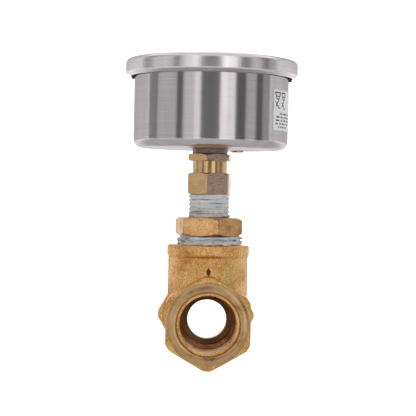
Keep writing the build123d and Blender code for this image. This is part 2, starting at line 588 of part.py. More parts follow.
def sector_arbor():
    """Plain arbor with a journal in each plate."""
    play = 0.05
    lower, upper = BOTTOM_PLATE_Z + PLATE_THICK + play, TOP_PLATE_Z - play
    arbor = turned(
        (0, BOTTOM_PLATE_Z + 0.1), (JOURNAL_R, BOTTOM_PLATE_Z + 0.1), (JOURNAL_R, lower),
        (ARBOR_R, lower), (ARBOR_R, upper), (JOURNAL_R, upper),
        (JOURNAL_R, TOP_PLATE_Z + PLATE_THICK - 0.1), (0, TOP_PLATE_Z + PLATE_THICK - 0.1),
    )
    return on_gauge(Pos(0, -CENTRES, 0) * arbor)


def link():
    """Flat link from the sector's tail to the tube's tip, its tip hole large for the open pivot."""
    ends = [
        Pos(TAIL_PIN_X, TAIL_PIN_Y) * Circle(LINK_HALF_WIDTH + 0.3),
        Pos(TIP_PIN_X, TIP_PIN_Y) * Circle(LINK_HALF_WIDTH + 0.3),
    ]
    bar = make_hull([
        *(Pos(TAIL_PIN_X, TAIL_PIN_Y) * Circle(LINK_HALF_WIDTH)).edges(),
        *(Pos(TIP_PIN_X, TIP_PIN_Y) * Circle(LINK_HALF_WIDTH)).edges(),
    ])
    outline = bar + ends - [
        Pos(TAIL_PIN_X, TAIL_PIN_Y) * Circle(LINK_PIN_R + JOURNAL_PLAY),
        Pos(TIP_PIN_X, TIP_PIN_Y) * Circle(TIP_HOLE_R),
    ]
    return on_gauge(Pos(0, 0, LINK_Z) * extrude(outline, LINK_THICK))


def headed_pin(radius, bottom):
    """A pin through the link, with a thin head over it."""
    head_z = LINK_Z + LINK_THICK + 0.05
    return turned(
        (0, bottom), (radius, bottom), (radius, head_z), (radius + 0.4, head_z),
        (radius + 0.4, head_z + 0.3), (0, head_z + 0.3),
    )


def sector_link_pin():
    return on_gauge(Pos(TAIL_PIN_X, TAIL_PIN_Y, 0) * headed_pin(LINK_PIN_R, SECTOR_Z))


def tip_link_pin():
    return on_gauge(Pos(TIP_PIN_X, TIP_PIN_Y, 0) * headed_pin(TIP_PIN_R, LUG_Z))


# ---------- Hairspring ----------

def spiral_point(turn, offset):
    """A point on the hairspring's spiral; turn runs from 0 at the collet to 1 at the stud."""
    radius = SPRING_INNER_R + turn * (SPRING_OUTER_R - SPRING_INNER_R) + offset
    return polar(radius, SPRING_END_ANGLE - 360 * SPRING_TURNS * (1 - turn))


def hairspring():
    """Flat spiral spring between the collet and the stud."""
    steps = 12 * SPRING_TURNS
    inner = Spline(*[spiral_point(i / steps, -SPRING_THICK / 2) for i in range(steps + 1)])
    outer = Spline(*[spiral_point(i / steps, SPRING_THICK / 2) for i in range(steps + 1)])
    strip = make_face([inner, outer, Line(inner @ 0, outer @ 0), Line(inner @ 1, outer @ 1)])
    return on_gauge(Pos(0, 0, SPRING_Z) * extrude(strip, SPRING_TALL))


def hairspring_collet():
    return on_gauge(ring(ARBOR_R, COLLET_R, COLLET_Z, COLLET_Z + COLLET_TALL))


def hairspring_stud():
    """Post under the top plate that holds the spring's outer end."""
    x, y = polar(SPRING_OUTER_R + SPRING_THICK / 2 + STUD_R, SPRING_END_ANGLE)
    return on_gauge(Pos(x, y, 0) * disc(STUD_R, COLLET_Z, TOP_PLATE_Z))


# ---------- Dial and pointer ----------

def dial():
    plate = ring(DIAL_HOLE_R, DIAL_R, DIAL_Z, DIAL_Z + DIAL_THICK)
    holes = [Pos(x, y, 0) * disc(DIAL_SCREW_R, DIAL_Z - 1, DIAL_Z + 1) for x, y in DIAL_POSTS]
    x, y = stop_place()
    stop_hole = Pos(x, y, 0) * disc(STOP_R, DIAL_Z - 1, DIAL_Z + 1)
    return on_gauge(plate - holes - stop_hole)


def dial_screws():
    screw = slotted_screw(SCREW_HEAD_R, DIAL_SCREW_R, shank_length=2.2)
    return at_places(screw, DIAL_POSTS, DIAL_Z + DIAL_THICK)


def pointer_half_width(distance):
    """Half the pointer's width at a distance out from its centre."""
    return POINTER_HALF_WIDTH * (1 - 0.7 * distance / POINTER_LENGTH)


def stop_place():
    """The stop pin stands beside the resting pointer, on its anticlockwise side."""
    aside = pointer_half_width(STOP_DISTANCE) + STOP_R + STOP_GAP
    x, y = polar(STOP_DISTANCE, POINTER_REST_ANGLE)
    aside_x, aside_y = polar(aside, POINTER_REST_ANGLE + 90)
    return x + aside_x, y + aside_y


def stop_pin():
    x, y = stop_place()
    top = POINTER_Z + POINTER_THICK + 0.4
    return on_gauge(Pos(x, y, 0) * turned((0, DIAL_Z), (STOP_R, DIAL_Z), (STOP_R, top, 0.15), (0, top)))


def pointer():
    """Tapered blade with a balancing tail, staked round the hub."""
    near_tip = POINTER_LENGTH - 1
    width = pointer_half_width
    blade = make_face(Polyline(
        (-POINTER_TAIL, -width(0)), (0, -width(0)), (near_tip, -width(near_tip)),
        (POINTER_LENGTH, 0), (near_tip, width(near_tip)), (0, width(0)), (-POINTER_TAIL, width(0)),
        close=True,
    ))
    outline = blade + Circle(HUB_R + 0.8) + Pos(-POINTER_TAIL, 0) * Circle(1.6) - Circle(HUB_R)
    return on_gauge(Rot(0, 0, POINTER_REST_ANGLE) * Pos(0, 0, POINTER_Z) * extrude(outline, POINTER_THICK))


def pointer_hub():
    """Bush pushed on the arbor's taper, standing a little proud of the pointer."""
    play = 0.01
    lower = PINION_TOP_JOURNAL_R
    per_height = (PINION_TOP_JOURNAL_R - JOURNAL_R) / (ARBOR_TOP_Z - HUB_Z)
    upper = lower - per_height * (HUB_TOP_Z - HUB_Z)
    return on_gauge(turned(
        (lower + play, HUB_Z), (HUB_R, HUB_Z), (HUB_R, HUB_TOP_Z, 0.25), (upper + play, HUB_TOP_Z),
    ))


# ---------- One file for each node ----------

PIECES = {
    "tee_body": tee_body(),
    "swivel_nut": swivel_nut(),
    "nut_retaining_ring": nut_retaining_ring(),
    "nut_washer": nut_washer(),
    "reducing_bushing": reducing_bushing(),
    "bushing_thread_tape": thread_tape(
        HALF_MAJOR_R, HALF_MINOR_R, HALF_PITCH, BRANCH_TOP_Z, BUSHING_HEX_Z
    ),
    "gauge_stem": gauge_stem(),
    "stem_thread_tape": thread_tape(
        QUARTER_CREST_R, QUARTER_ROOT_R, QUARTER_PITCH, BUSHING_TOP_Z, STEM_HEX_Z
    ),
    "restrictor_screw": restrictor_screw(),
    "case": case(),
    "case_seal_washer": case_seal_washer(),
    "vent_plug": vent_plug(),
    "bezel_gasket": bezel_gasket(),
    "bezel_ring": bezel_ring(),
    "window": window(),
    "rating_label": rating_label(),
    "tube_socket": tube_socket(),
    "socket_drill_plug": socket_drill_plug(),
    "bourdon_tube": bourdon_tube(),
    "tip_block": tip_block(),
    "tip_link_pin": tip_link_pin(),
    "link": link(),
    "sector_link_pin": sector_link_pin(),
    "sector_gear": sector_gear(),
    "sector_arbor": sector_arbor(),
    "pinion_shaft": pinion_shaft(),
    "hairspring_collet": hairspring_collet(),
    "hairspring": hairspring(),
    "hairspring_stud": hairspring_stud(),
    "movement_bottom_plate": movement_bottom_plate(),
    "movement_top_plate": movement_top_plate(),
    "movement_pillars": movement_pillars(),
    "bottom_plate_screws": bottom_plate_screws(),
    "top_plate_screws": top_plate_screws(),
    "dial_posts": dial_posts(),
    "dial": dial(),
    "dial_screws": dial_screws(),
    "stop_pin": stop_pin(),
    "pointer_hub": pointer_hub(),
    "pointer": pointer(),
}

os.makedirs("parts", exist_ok=True)
for name, solid in PIECES.items():
    export_step(solid, f"parts/{name}.step")
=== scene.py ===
import json
import math

import bpy
from mathutils import Matrix, Vector


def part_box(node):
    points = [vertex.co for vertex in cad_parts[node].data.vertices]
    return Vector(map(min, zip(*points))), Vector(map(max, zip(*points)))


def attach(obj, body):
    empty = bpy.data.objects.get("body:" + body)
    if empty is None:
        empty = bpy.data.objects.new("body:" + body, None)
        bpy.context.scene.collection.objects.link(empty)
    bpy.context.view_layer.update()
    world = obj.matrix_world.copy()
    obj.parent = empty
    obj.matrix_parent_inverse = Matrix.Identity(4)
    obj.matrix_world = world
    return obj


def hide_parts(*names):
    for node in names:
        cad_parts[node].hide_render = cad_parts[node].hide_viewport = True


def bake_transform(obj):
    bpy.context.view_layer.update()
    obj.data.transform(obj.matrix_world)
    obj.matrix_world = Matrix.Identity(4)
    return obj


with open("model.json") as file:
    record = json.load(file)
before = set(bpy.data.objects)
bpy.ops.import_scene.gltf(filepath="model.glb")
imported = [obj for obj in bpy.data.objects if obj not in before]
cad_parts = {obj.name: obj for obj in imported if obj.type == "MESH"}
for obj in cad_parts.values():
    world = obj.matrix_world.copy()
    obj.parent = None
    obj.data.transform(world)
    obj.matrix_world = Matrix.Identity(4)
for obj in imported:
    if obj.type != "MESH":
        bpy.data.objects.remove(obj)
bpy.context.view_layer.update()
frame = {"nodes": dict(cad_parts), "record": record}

# A dial pressure gauge on a bronze tee. Sizes are in millimetres and become metres as a piece
# is made. +X is to the right, +Y runs down the tee's bore and +Z is up the gauge's axis.
MM = 0.001


def box(node):
    """A CAD node's lowest and highest corners, in millimetres."""
    low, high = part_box(node)
    return Vector(low) / MM, Vector(high) / MM


def heights(node):
    """A CAD node's lowest and highest heights, in millimetres."""
    low, high = box(node)
    return low.z, high.z


# ---------- Sizes, taken from the frame where it gives them ----------
# A name ending in _R is a radius, _FLATS a hexagon's width across its flats, _CORNER_R the radius
# that its corners are turned down to, and _CLOCK the way that one of its flats faces, in degrees.

# Where the gauge's upright axis stands. RUN is the tee's own axis, while a piece of it is upright.
window_low, window_high = box("window")
GAUGE = (0.0, (window_low.y + window_high.y) / 2)
RUN = (0.0, 0.0)

case_floor, flange_top = heights("case")
CASE_R, SHEET, CASE_ROUND = 26.2, 0.6, 2.7
FLANGE_R = box("case")[1].x
SPIGOT_R, SPIGOT_HOLE_R = 4.0, 4.1
BEZEL_LIP, BEZEL_TOP = heights("bezel_ring")
BEZEL_R = box("bezel_ring")[1].x

tee_low, tee_high = box("tee_body")
BARREL_R, BRANCH_R, BAND_R, TAIL_R = 13.0, 13.05, tee_high.x, 10.8
BARREL_END, BAND_BOTTOM, BRANCH_TOP = 37.0, 21.2, tee_high.z
BORE_R, THREAD_ROOT_R, THREAD_PITCH, THREAD_DEPTH = 9.32, 10.3, 1.814, 16.0
SHOULDER_R, THROAT_R, OUTLET_R = 8.25, 6.6, 8.9
INLET_FLATS, INLET_CORNER_R, INLET_LENGTH = 27.6, 15.3, 11.0
NUT_FLATS, NUT_CORNER_R = 30.0, 16.8

# How far in along the run the bore is painted dark: painted shade deep inside it.
DARK_BEYOND = 16.8

bushing_bottom, BUSHING_TOP = heights("reducing_bushing")
BUSHING_HEX_BOTTOM = heights("bushing_thread_tape")[1]
BUSHING_FLATS, BUSHING_CORNER_R, BUSHING_CLOCK = 20.5, 11.75, 42.9

STEM_FLATS, STEM_CORNER_R, STEM_CLOCK, NECK_R = 13.9, 7.85, 21.6, 5.85
STEM_HEX_BOTTOM, STEM_HEX_TOP = heights("stem_thread_tape")[1], 49.35
THIN_HEX_BOTTOM, THIN_HEX_TOP = 53.25, 55.7
stem_bottom, SPIGOT_TOP = heights("gauge_stem")

# Facets round a turned piece: the wide ones, the bored ones and the small ones. Then the facets
# round each rounded corner of its outline.
TURNED_STEPS, BORED_STEPS, SMALL_STEPS = 192, 128, 96
ARC_STEPS = 6


# ---------- Making and finishing pieces ----------

def deselect():
    """Leaves nothing selected, with the next operator in object mode."""
    if bpy.context.object and bpy.context.object.mode != "OBJECT":
        bpy.ops.object.mode_set(mode="OBJECT")
    bpy.ops.object.select_all(action="DESELECT")


def choose(piece):
    """Selects one piece alone and makes it the active one."""
    deselect()
    piece.select_set(True)
    bpy.context.view_layer.objects.active = piece


def settle(piece):
    """Puts the piece's place, turn and size into its mesh."""
    choose(piece)
    bpy.ops.object.transform_apply(location=True, rotation=True, scale=True)


def apply_all(piece):
    """Applies every modifier on the piece, in order."""
    choose(piece)
    for modifier in list(piece.modifiers):
        bpy.ops.object.modifier_apply(modifier=modifier.name)


def twin(piece):
    """A second copy of the piece, with its own mesh."""
    other = piece.copy()
    other.data = piece.data.copy()
    bpy.context.scene.collection.objects.link(other)
    return other


def joined(name, pieces):
    """Joins pieces into one of that name."""
    choose(pieces[0])
    for piece in pieces:
        piece.select_set(True)
    bpy.ops.object.join()
    pieces[0].name = name
    return pieces[0]


def cut(piece, tool, operation="DIFFERENCE"):
    """Cuts the piece with a tool piece, which is used up."""
    modifier = piece.modifiers.new("cut", "BOOLEAN")
    modifier.operation = operation
    modifier.solver = "EXACT"
    modifier.object = tool
    apply_all(piece)
    bpy.data.objects.remove(tool)
    return piece


def soften(piece, width):
    """Breaks the piece's sharp edges."""
    modifier = piece.modifiers.new("edges", "BEVEL")
    modifier.width = width * MM
    modifier.segments = 2
    modifier.limit_method = "ANGLE"
    modifier.angle_limit = math.radians(20)
    modifier.use_clamp_overlap = True
    apply_all(piece)
    return piece


def drop_faces(piece, unwanted):
    """Deletes the faces for which unwanted(face) is true."""
    choose(piece)
    bpy.ops.object.mode_set(mode="EDIT")
    bpy.ops.mesh.select_all(action="DESELECT")
    bpy.ops.object.mode_set(mode="OBJECT")
    for face in piece.data.polygons:
        face.select = unwanted(face)
    bpy.ops.object.mode_set(mode="EDIT")
    bpy.ops.mesh.delete(type="FACE")
    bpy.ops.object.mode_set(mode="OBJECT")
    return piece


def around(place):
    """The angle at which a place or a normal lies, in degrees to the right of the front."""
    return math.degrees(math.atan2(place.x, -place.y))


def outward(piece):
    """Closes seams and points every face outwards."""
    choose(piece)
    bpy.ops.object.mode_set(mode="EDIT")
    bpy.ops.mesh.select_all(action="SELECT")
    bpy.ops.mesh.remove_doubles(threshold=1e-6)
    bpy.ops.mesh.normals_make_consistent(inside=False)
    bpy.ops.object.mode_set(mode="OBJECT")
    return piece


def smooth(piece, angle=30, flats=True):
    """Smooth shading up to an angle, with the big flat faces kept looking flat."""
    choose(piece)
    bpy.ops.object.shade_smooth_by_angle(angle=math.radians(angle))
    if flats:
        weighted = piece.modifiers.new("flats", "WEIGHTED_NORMAL")
        weighted.keep_sharp = True
        apply_all(piece)
    return piece


def paint(piece, *materials):
    """Gives the piece its material, or several for later faces to share."""
    piece.data.materials.clear()
    for material in materials:
        piece.data.materials.append(material)
    return piece


def fitted(piece, body, slot, *nodes):
    """Hangs the piece on its body in place of CAD nodes."""
    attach(piece, body)
    if nodes:
        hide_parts(*nodes)
    return piece


def rounded(corners):
    """Points round an outline whose corners are (radius, height) or (radius, height, rounding)."""
    points = []
    for i, corner in enumerate(corners):
        here = Vector(corner[:2])
        if len(corner) < 3:
            points.append(here)
            continue
        before = (Vector(corners[i - 1][:2]) - here).normalized()
        after = (Vector(corners[(i + 1) % len(corners)][:2]) - here).normalized()
        half = before.angle(after) / 2
        centre = here + (before + after).normalized() * corner[2] / math.sin(half)
        first = here + before * corner[2] / math.tan(half) - centre
        last = here + after * corner[2] / math.tan(half) - centre
        start = math.atan2(first.y, first.x)
        sweep = (math.atan2(last.y, last.x) - start + math.pi) % math.tau - math.pi
        for step in range(ARC_STEPS + 1):
            angle = start + sweep * step / ARC_STEPS
            points.append(centre + corner[2] * Vector((math.cos(angle), math.sin(angle))))
    return points


def turned(name, corners, axis=GAUGE, solid=False, steps=TURNED_STEPS):
    """Turns an outline about an upright axis, ring by ring. A solid one has its two ends capped."""
    points = rounded(corners)
    radius, height = points[0]
    deselect()
    bpy.ops.mesh.primitive_circle_add(
        vertices=steps, radius=radius * MM, location=(axis[0] * MM, axis[1] * MM, height * MM)
    )
    piece = bpy.context.object
    piece.name = name
    settle(piece)
    bpy.ops.object.mode_set(mode="EDIT")
    for point in points[1:] if solid else points[1:] + points[:1]:
        bpy.ops.mesh.extrude_region_move(
            TRANSFORM_OT_translate={"value": (0, 0, (point.y - height) * MM)}
        )
        growth = point.x / radius
        bpy.ops.transform.resize(
            value=(growth, growth, 1), center_override=(axis[0] * MM, axis[1] * MM, point.y * MM)
        )
        radius, height = point
    bpy.ops.mesh.select_all(action="SELECT")
    if solid:
        bpy.ops.mesh.fill_holes(sides=0)
    bpy.ops.object.mode_set(mode="OBJECT")
    return outward(piece)


def along_run(piece):
    """Lays a piece made upright on the origin along the tee's run."""
    piece.rotation_euler = (-math.pi / 2, 0, 0)
    settle(piece)
    return piece


def hexagon(name, flats, corner_r, low, high, clock, edge, axis=GAUGE):
    """A hexagon with its corners turned off at both ends and its edges broken."""
    deselect()
    chamfer = math.radians(30)
    bpy.ops.mesh.primitive_cylinder_add(
        vertices=6, radius=flats / 2 / math.cos(math.radians(30)) * MM, depth=(high - low) * MM,
        location=(axis[0] * MM, axis[1] * MM, (low + high) / 2 * MM),
        rotation=(0, 0, math.radians(clock - 90)),
    )
    piece = bpy.context.object
    piece.name = name
    settle(piece)
    drop = (corner_r - flats / 2) * math.tan(chamfer)
    blank = turned(
        "blank", [(flats / 2, low), (corner_r, low + drop), (corner_r, high - drop), (flats / 2, high)],
        axis, solid=True, steps=SMALL_STEPS,
    )
    cut(piece, blank, "INTERSECT")
    return outward(soften(piece, edge))


def thread_corners(crest, root, pitch, start, end):
    """Corners up a threaded wall: flat crests with V grooves between them."""
    land = 0.35 * pitch
    half = (pitch - land) / 2
    corners = [(crest, start)]
    for turn in range(int((end - start - land) / pitch)):
        middle = start + land + half + turn * pitch
        corners += [(crest, middle - half), (root, middle), (crest, middle + half)]
    return corners + [(crest, end)]


# ---------- Materials ----------

class Finish:
    """A material under construction: its nodes, links and main shader."""

    def __init__(self, name, colour, metallic, roughness, **shader):
        self.material = bpy.data.materials.new(name)
        self.material.use_nodes = True
        self.nodes = self.material.node_tree.nodes
        self.links = self.material.node_tree.links
        self.shader = self.nodes["Principled BSDF"]
        self.set("Base Color", (*colour, 1))
        self.set("Metallic", metallic)
        self.set("Roughness", roughness)
        for socket, value in shader.items():
            self.set(socket.replace("_", " "), value)
        self.place = self.nodes.new("ShaderNodeTexCoord").outputs["Object"]
        self.normal = None

    def set(self, socket, value):
        """Sets a number or colour that is the same all over the surface."""
        self.shader.inputs[socket].default_value = value

    def node(self, kind, **inputs):
        """A new node, with each input linked or set."""
        made = self.nodes.new(kind)
        for socket, value in inputs.items():
            target = made.inputs[socket.replace("_", " ")]
            if isinstance(value, bpy.types.NodeSocket):
                self.links.new(value, target)
            else:
                target.default_value = value
        return made

    def stretched(self, x, y, z):
        """Object coordinates, with each direction drawn out or squeezed."""
        return self.node("ShaderNodeMapping", Vector=self.place, Scale=(x, y, z)).outputs["Vector"]

    def rings(self):
        """Distance from the tee's run axis as a coordinate, for marks turned round the bore."""
        flat = self.node("ShaderNodeMapping", Vector=self.place, Scale=(1, 0, 1)).outputs["Vector"]
        length = self.nodes.new("ShaderNodeVectorMath")
        length.operation = "LENGTH"
        self.links.new(flat, length.inputs[0])
        split = self.node("ShaderNodeSeparateXYZ", Vector=self.place)
        polar = self.node(
            "ShaderNodeCombineXYZ", X=length.outputs["Value"], Y=split.outputs["Y"]
        )
        return polar.outputs["Vector"]

    def noise(self, place, scale, detail=4, roughness=0.55):
        """A noise value at a place, from 0 to 1."""
        made = self.node(
            "ShaderNodeTexNoise", Vector=place, Scale=scale, Detail=detail, Roughness=roughness
        )
        return made.outputs["Fac"]

    def shades(self, value, *stops):
        """Colours along a value: each stop is (place, (r, g, b))."""
        ramp = self.node("ShaderNodeValToRGB", Fac=value)
        elements = ramp.color_ramp.elements
        while len(elements) < len(stops):
            elements.new(0.5)
        for element, (at, colour) in zip(elements, stops):
            element.position = at
            element.color = (*colour, 1)
        return ramp.outputs["Color"]

    def mixed(self, first, second):
        """Two colours multiplied together."""
        made = self.nodes.new("ShaderNodeMix")
        made.data_type = "RGBA"
        made.blend_type = "MULTIPLY"
        made.inputs[0].default_value = 1.0
        self.links.new(first, made.inputs[6])
        self.links.new(second, made.inputs[7])
        return made.outputs[2]

    def colour(self, output):
        """Gives the surface the colour that comes out of a node."""
        self.links.new(output, self.shader.inputs["Base Color"])

    def rough(self, value, low, high):
        """Roughness from low to high as the value goes over its middle range."""
        span = self.node(
            "ShaderNodeMapRange", Value=value, From_Min=0.3, From_Max=0.7, To_Min=low, To_Max=high
        )
        self.links.new(span.outputs["Result"], self.shader.inputs["Roughness"])

    def bump(self, value, depth, strength=1.0):
        """Raises the surface by the value, depth in millimetres, on top of earlier bumps."""
        made = self.node("ShaderNodeBump", Height=value, Distance=depth * MM, Strength=strength)
        if self.normal:
            self.links.new(self.normal, made.inputs["Normal"])
        self.normal = made.outputs["Normal"]
        self.links.new(self.normal, self.shader.inputs["Normal"])


def cast_bronze():
    """Sand-cast bronze: mottled brown and gold with a grainy skin."""
    finish = Finish("cast bronze", (0.5, 0.32, 0.16), 1.0, 0.45)
    patches = finish.noise(finish.place, 170, detail=7, roughness=0.62)
    broad = finish.shades(
        patches, (0.30, (0.56, 0.29, 0.11)), (0.44, (0.80, 0.47, 0.19)),
        (0.56, (0.92, 0.59, 0.26)), (0.72, (0.97, 0.70, 0.37)),
    )
    grains = finish.noise(finish.place, 2300, detail=3, roughness=0.6)
    speckle = finish.shades(
        grains, (0.32, (0.54, 0.46, 0.38)), (0.5, (0.86, 0.84, 0.80)), (0.64, (1.16, 1.14, 1.06))
    )
    wide = finish.noise(finish.place, 55, detail=2)
    drift = finish.shades(wide, (0.38, (1.06, 0.93, 0.84)), (0.6, (0.99, 1.02, 0.86)))
    finish.colour(finish.mixed(finish.mixed(broad, speckle), drift))
    finish.rough(finish.noise(finish.place, 420), 0.34, 0.48)
    finish.bump(finish.noise(finish.place, 600, detail=4), 0.2, 0.4)
    finish.bump(grains, 0.2, 0.8)
    return finish.material


def machined_bronze(name="machined bronze", tint=(1.0, 1.0, 1.0), roughness=(0.24, 0.38)):
    """Bronze faced and bored on a lathe, with fine rings round the run."""
    finish = Finish(name, (0.6, 0.42, 0.22), 1.0, 0.3)
    rings = finish.rings()
    squeezed = finish.node("ShaderNodeMapping", Vector=rings, Scale=(4500, 900, 1)).outputs["Vector"]
    marks = finish.noise(squeezed, 1.0, detail=3)
    stains = finish.noise(finish.place, 240, detail=6)
    stops = ((0.28, (0.34, 0.185, 0.08)), (0.48, (0.54, 0.335, 0.155)), (0.72, (0.66, 0.44, 0.245)))
    finish.colour(finish.shades(stains, *[
        (at, tuple(c * t for c, t in zip(colour, tint))) for at, colour in stops
    ]))
    finish.rough(stains, *roughness)
    finish.bump(marks, 0.05, 0.6)
    finish.bump(finish.noise(finish.place, 1500, detail=3), 0.05, 0.4)
    return finish.material


def copper_bronze():
    """The bushing's redder bronze, turned and then handled with a wrench."""
    finish = Finish("copper bronze", (0.6, 0.36, 0.18), 1.0, 0.34)
    patches = finish.noise(finish.place, 260, detail=6)
    broad = finish.shades(
        patches, (0.30, (0.52, 0.25, 0.09)), (0.48, (0.76, 0.43, 0.185)), (0.68, (0.88, 0.56, 0.29)),
    )
    scuffs = finish.noise(finish.stretched(2400, 2400, 1100), 1.0, detail=4)
    finish.colour(finish.mixed(broad, finish.shades(
        scuffs, (0.30, (0.72, 0.63, 0.55)), (0.5, (0.94, 0.91, 0.88)), (0.66, (1, 1, 1))
    )))
    finish.rough(finish.noise(finish.place, 500), 0.18, 0.32)
    finish.bump(scuffs, 0.06, 0.5)
    return finish.material


def turned_brass(name="turned brass", colour=(0.66, 0.435, 0.215)):
    """Bright brass with fine rings round the gauge's axis."""
    finish = Finish(name, colour, 1.0, 0.2)
    patches = finish.noise(finish.place, 300, detail=5)
    dark = tuple(0.84 * c for c in colour)
    pale = tuple(min(1.0, 1.1 * c) for c in colour)
    finish.colour(finish.shades(patches, (0.3, dark), (0.5, colour), (0.7, pale)))
    finish.rough(patches, 0.14, 0.26)
    finish.bump(finish.noise(finish.stretched(300, 300, 5000), 1.0, detail=3), 0.02, 0.5)
    return finish.material


def sawn_brass(name="grey reflection brass", shade=1.0):
    """Brass painted duller and greyer, with close cross marks: a painted reflection on the hexagons' front
    flats, painted shade on the collar.
    """
    finish = Finish(name, (0.5, 0.36, 0.27), 1.0, 0.34)
    marks = finish.noise(finish.stretched(700, 700, 4200), 1.0, detail=5, roughness=0.7)
    stops = ((0.32, (0.24, 0.17, 0.13)), (0.5, (0.46, 0.33, 0.265)), (0.66, (0.62, 0.46, 0.38)))
    finish.colour(finish.shades(marks, *[(at, tuple(shade * c for c in colour)) for at, colour in stops]))
    finish.rough(marks, 0.28, 0.45)
    finish.bump(marks, 0.08, 0.6)
    return finish.material


def brushed_steel(name, colour, roughness=(0.08, 0.14), low=None):
    """Stainless steel, brushed round the gauge's axis. Below a low height, it is left duller."""
    finish = Finish(name, colour, 1.0, roughness[0], Specular_Tint=(0.72, 0.70, 0.71, 1))
    lines = finish.noise(finish.stretched(25, 25, 7000), 1.0, detail=4, roughness=0.7)
    streaks = finish.noise(finish.stretched(260, 260, 30), 1.0, detail=4, roughness=0.6)
    pale = tuple(min(1.0, 1.08 * c) for c in colour)
    dark = tuple(0.86 * c for c in colour)
    broad = finish.shades(lines, (0.3, dark), (0.5, colour), (0.7, pale))
    finish.colour(finish.mixed(broad, finish.shades(streaks, (0.3, (0.9, 0.9, 0.9)), (0.6, (1, 1, 1)))))
    finish.bump(streaks, 0.02, 0.15)
    finish.bump(lines, 0.006, 0.4)
    if low is None:
        finish.rough(lines, *roughness)
    else:
        split = finish.node("ShaderNodeSeparateXYZ", Vector=finish.place)
        dulled = finish.node(
            "ShaderNodeMapRange", Value=split.outputs["Z"],
            From_Min=(low - 0.2) * MM, From_Max=(low + 0.2) * MM, To_Min=0.32, To_Max=0.14,
        )
        finish.links.new(dulled.outputs["Result"], finish.shader.inputs["Roughness"])
    return finish.material


def bright_steel():
    """Small turned steel parts."""
    finish = Finish("bright steel", (0.6, 0.6, 0.61), 1.0, 0.25)
    marks = finish.noise(finish.stretched(900, 900, 6000), 1.0, detail=3)
    finish.rough(marks, 0.2, 0.34)
    finish.bump(marks, 0.01, 0.4)
    return finish.material


def thread_tape():
    """White thread-seal tape, stretched into fine streaks, with painted shade in its creases and between
    its wraps.
    """
    finish = Finish("thread tape", (0.78, 0.79, 0.8), 0.0, 0.42, Subsurface_Weight=0.12)
    finish.shader.inputs["Subsurface Radius"].default_value = (0.0008, 0.0008, 0.0008)
    folds_and_shade = finish.noise(finish.place, 520, detail=6, roughness=0.7)
    # Low values of folds_and_shade are painted dark, painted shade in the creases; the same noise also
    # bumps the surface below.
    broad = finish.shades(
        folds_and_shade, (0.27, (0.22, 0.21, 0.2)), (0.38, (0.66, 0.66, 0.66)), (0.55, (0.84, 0.85, 0.86)),
    )
    # Narrow dark streaks round the wraps: painted shade in the gaps between them.
    edges = finish.noise(finish.stretched(110, 110, 1500), 1.0, detail=3)
    finish.colour(finish.mixed(broad, finish.shades(
        edges, (0.33, (0.2, 0.19, 0.19)), (0.40, (0.8, 0.8, 0.8)), (0.5, (1, 1, 1))
    )))
    finish.bump(finish.noise(finish.stretched(120, 120, 5000), 1.0, detail=4), 0.08, 0.7)
    finish.bump(folds_and_shade, 0.2, 0.5)
    return finish.material


def rubber():
    """Matt black rubber with a fine grain."""
    finish = Finish("black rubber", (0.008, 0.008, 0.008), 0.0, 0.7, Specular_IOR_Level=0.15)
    grain = finish.noise(finish.place, 3000, detail=3)
    finish.rough(grain, 0.5, 0.75)
    finish.bump(grain, 0.02, 0.5)
    return finish.material


def clear_glass():
    """The window: clear, with the faintest waviness."""
    finish = Finish("clear window", (0.95, 0.98, 0.98), 0.0, 0.02, Transmission_Weight=1.0, IOR=1.49)
    finish.bump(finish.noise(finish.place, 60, detail=1), 0.01, 0.1)
    return finish.material


def painted(name, colour, roughness=0.4, glow=0.0):
    """Smooth paint or print with a fine orange-peel. The dial's faint glow is painted light that brightens
    it under its window.
    """
    finish = Finish(name, colour, 0.0, roughness, Emission_Color=(1, 1, 1, 1), Emission_Strength=glow)
    speckle = finish.noise(finish.place, 1800, detail=3)
    finish.colour(finish.shades(
        speckle, (0.3, tuple(0.93 * c for c in colour)), (0.7, colour),
    ))
    finish.bump(speckle, 0.015, 0.4)
    return finish.material


CAST = cast_bronze()
MACHINED = machined_bronze()
# The bore's thread: tinted darker and pinker than the faced bronze, painted shade with a painted pink
# sheen, and smoother.
THREAD = machined_bronze("shaded thread", (0.92, 0.77, 0.72), (0.14, 0.26))
# Dark bronze for the far reaches of the bore: painted shade.
BORE = machined_bronze("dark bore", (0.3, 0.25, 0.22))
COPPER = copper_bronze()
BRASS = turned_brass()
PHOSPHOR = turned_brass("phosphor bronze", (0.6, 0.36, 0.2))
# Greyer brass for each stem hexagon's front flat: a painted reflection of darker surroundings.
GREY_REFLECTION = sawn_brass()
# Darker brass for the stem's collar under the case: painted shade.
COLLAR_SHADE = sawn_brass("shaded collar", 0.45)
CASE_STEEL = brushed_steel("brushed steel", (0.60, 0.565, 0.575), low=case_floor + 0.3)
BEZEL_STEEL = brushed_steel("bezel steel", (0.83, 0.795, 0.80), (0.18, 0.28))
STEEL = bright_steel()
TAPE = thread_tape()
RUBBER = rubber()
GLASS = clear_glass()
# The dial's glow is painted light, brightening it under the window.
DIAL_PAINT = painted("dial paint", (0.9, 0.9, 0.88), glow=0.22)
BLACK_PAINT = painted("black paint", (0.015, 0.015, 0.015), 0.3)
LABEL_FILM = painted("label film", (0.96, 0.96, 0.94), 0.3)
BLACK_INK = painted("black ink", (0.02, 0.02, 0.022), 0.45)
RED_INK = painted("red ink", (0.6, 0.04, 0.03), 0.45)


# ---------- Tee ----------

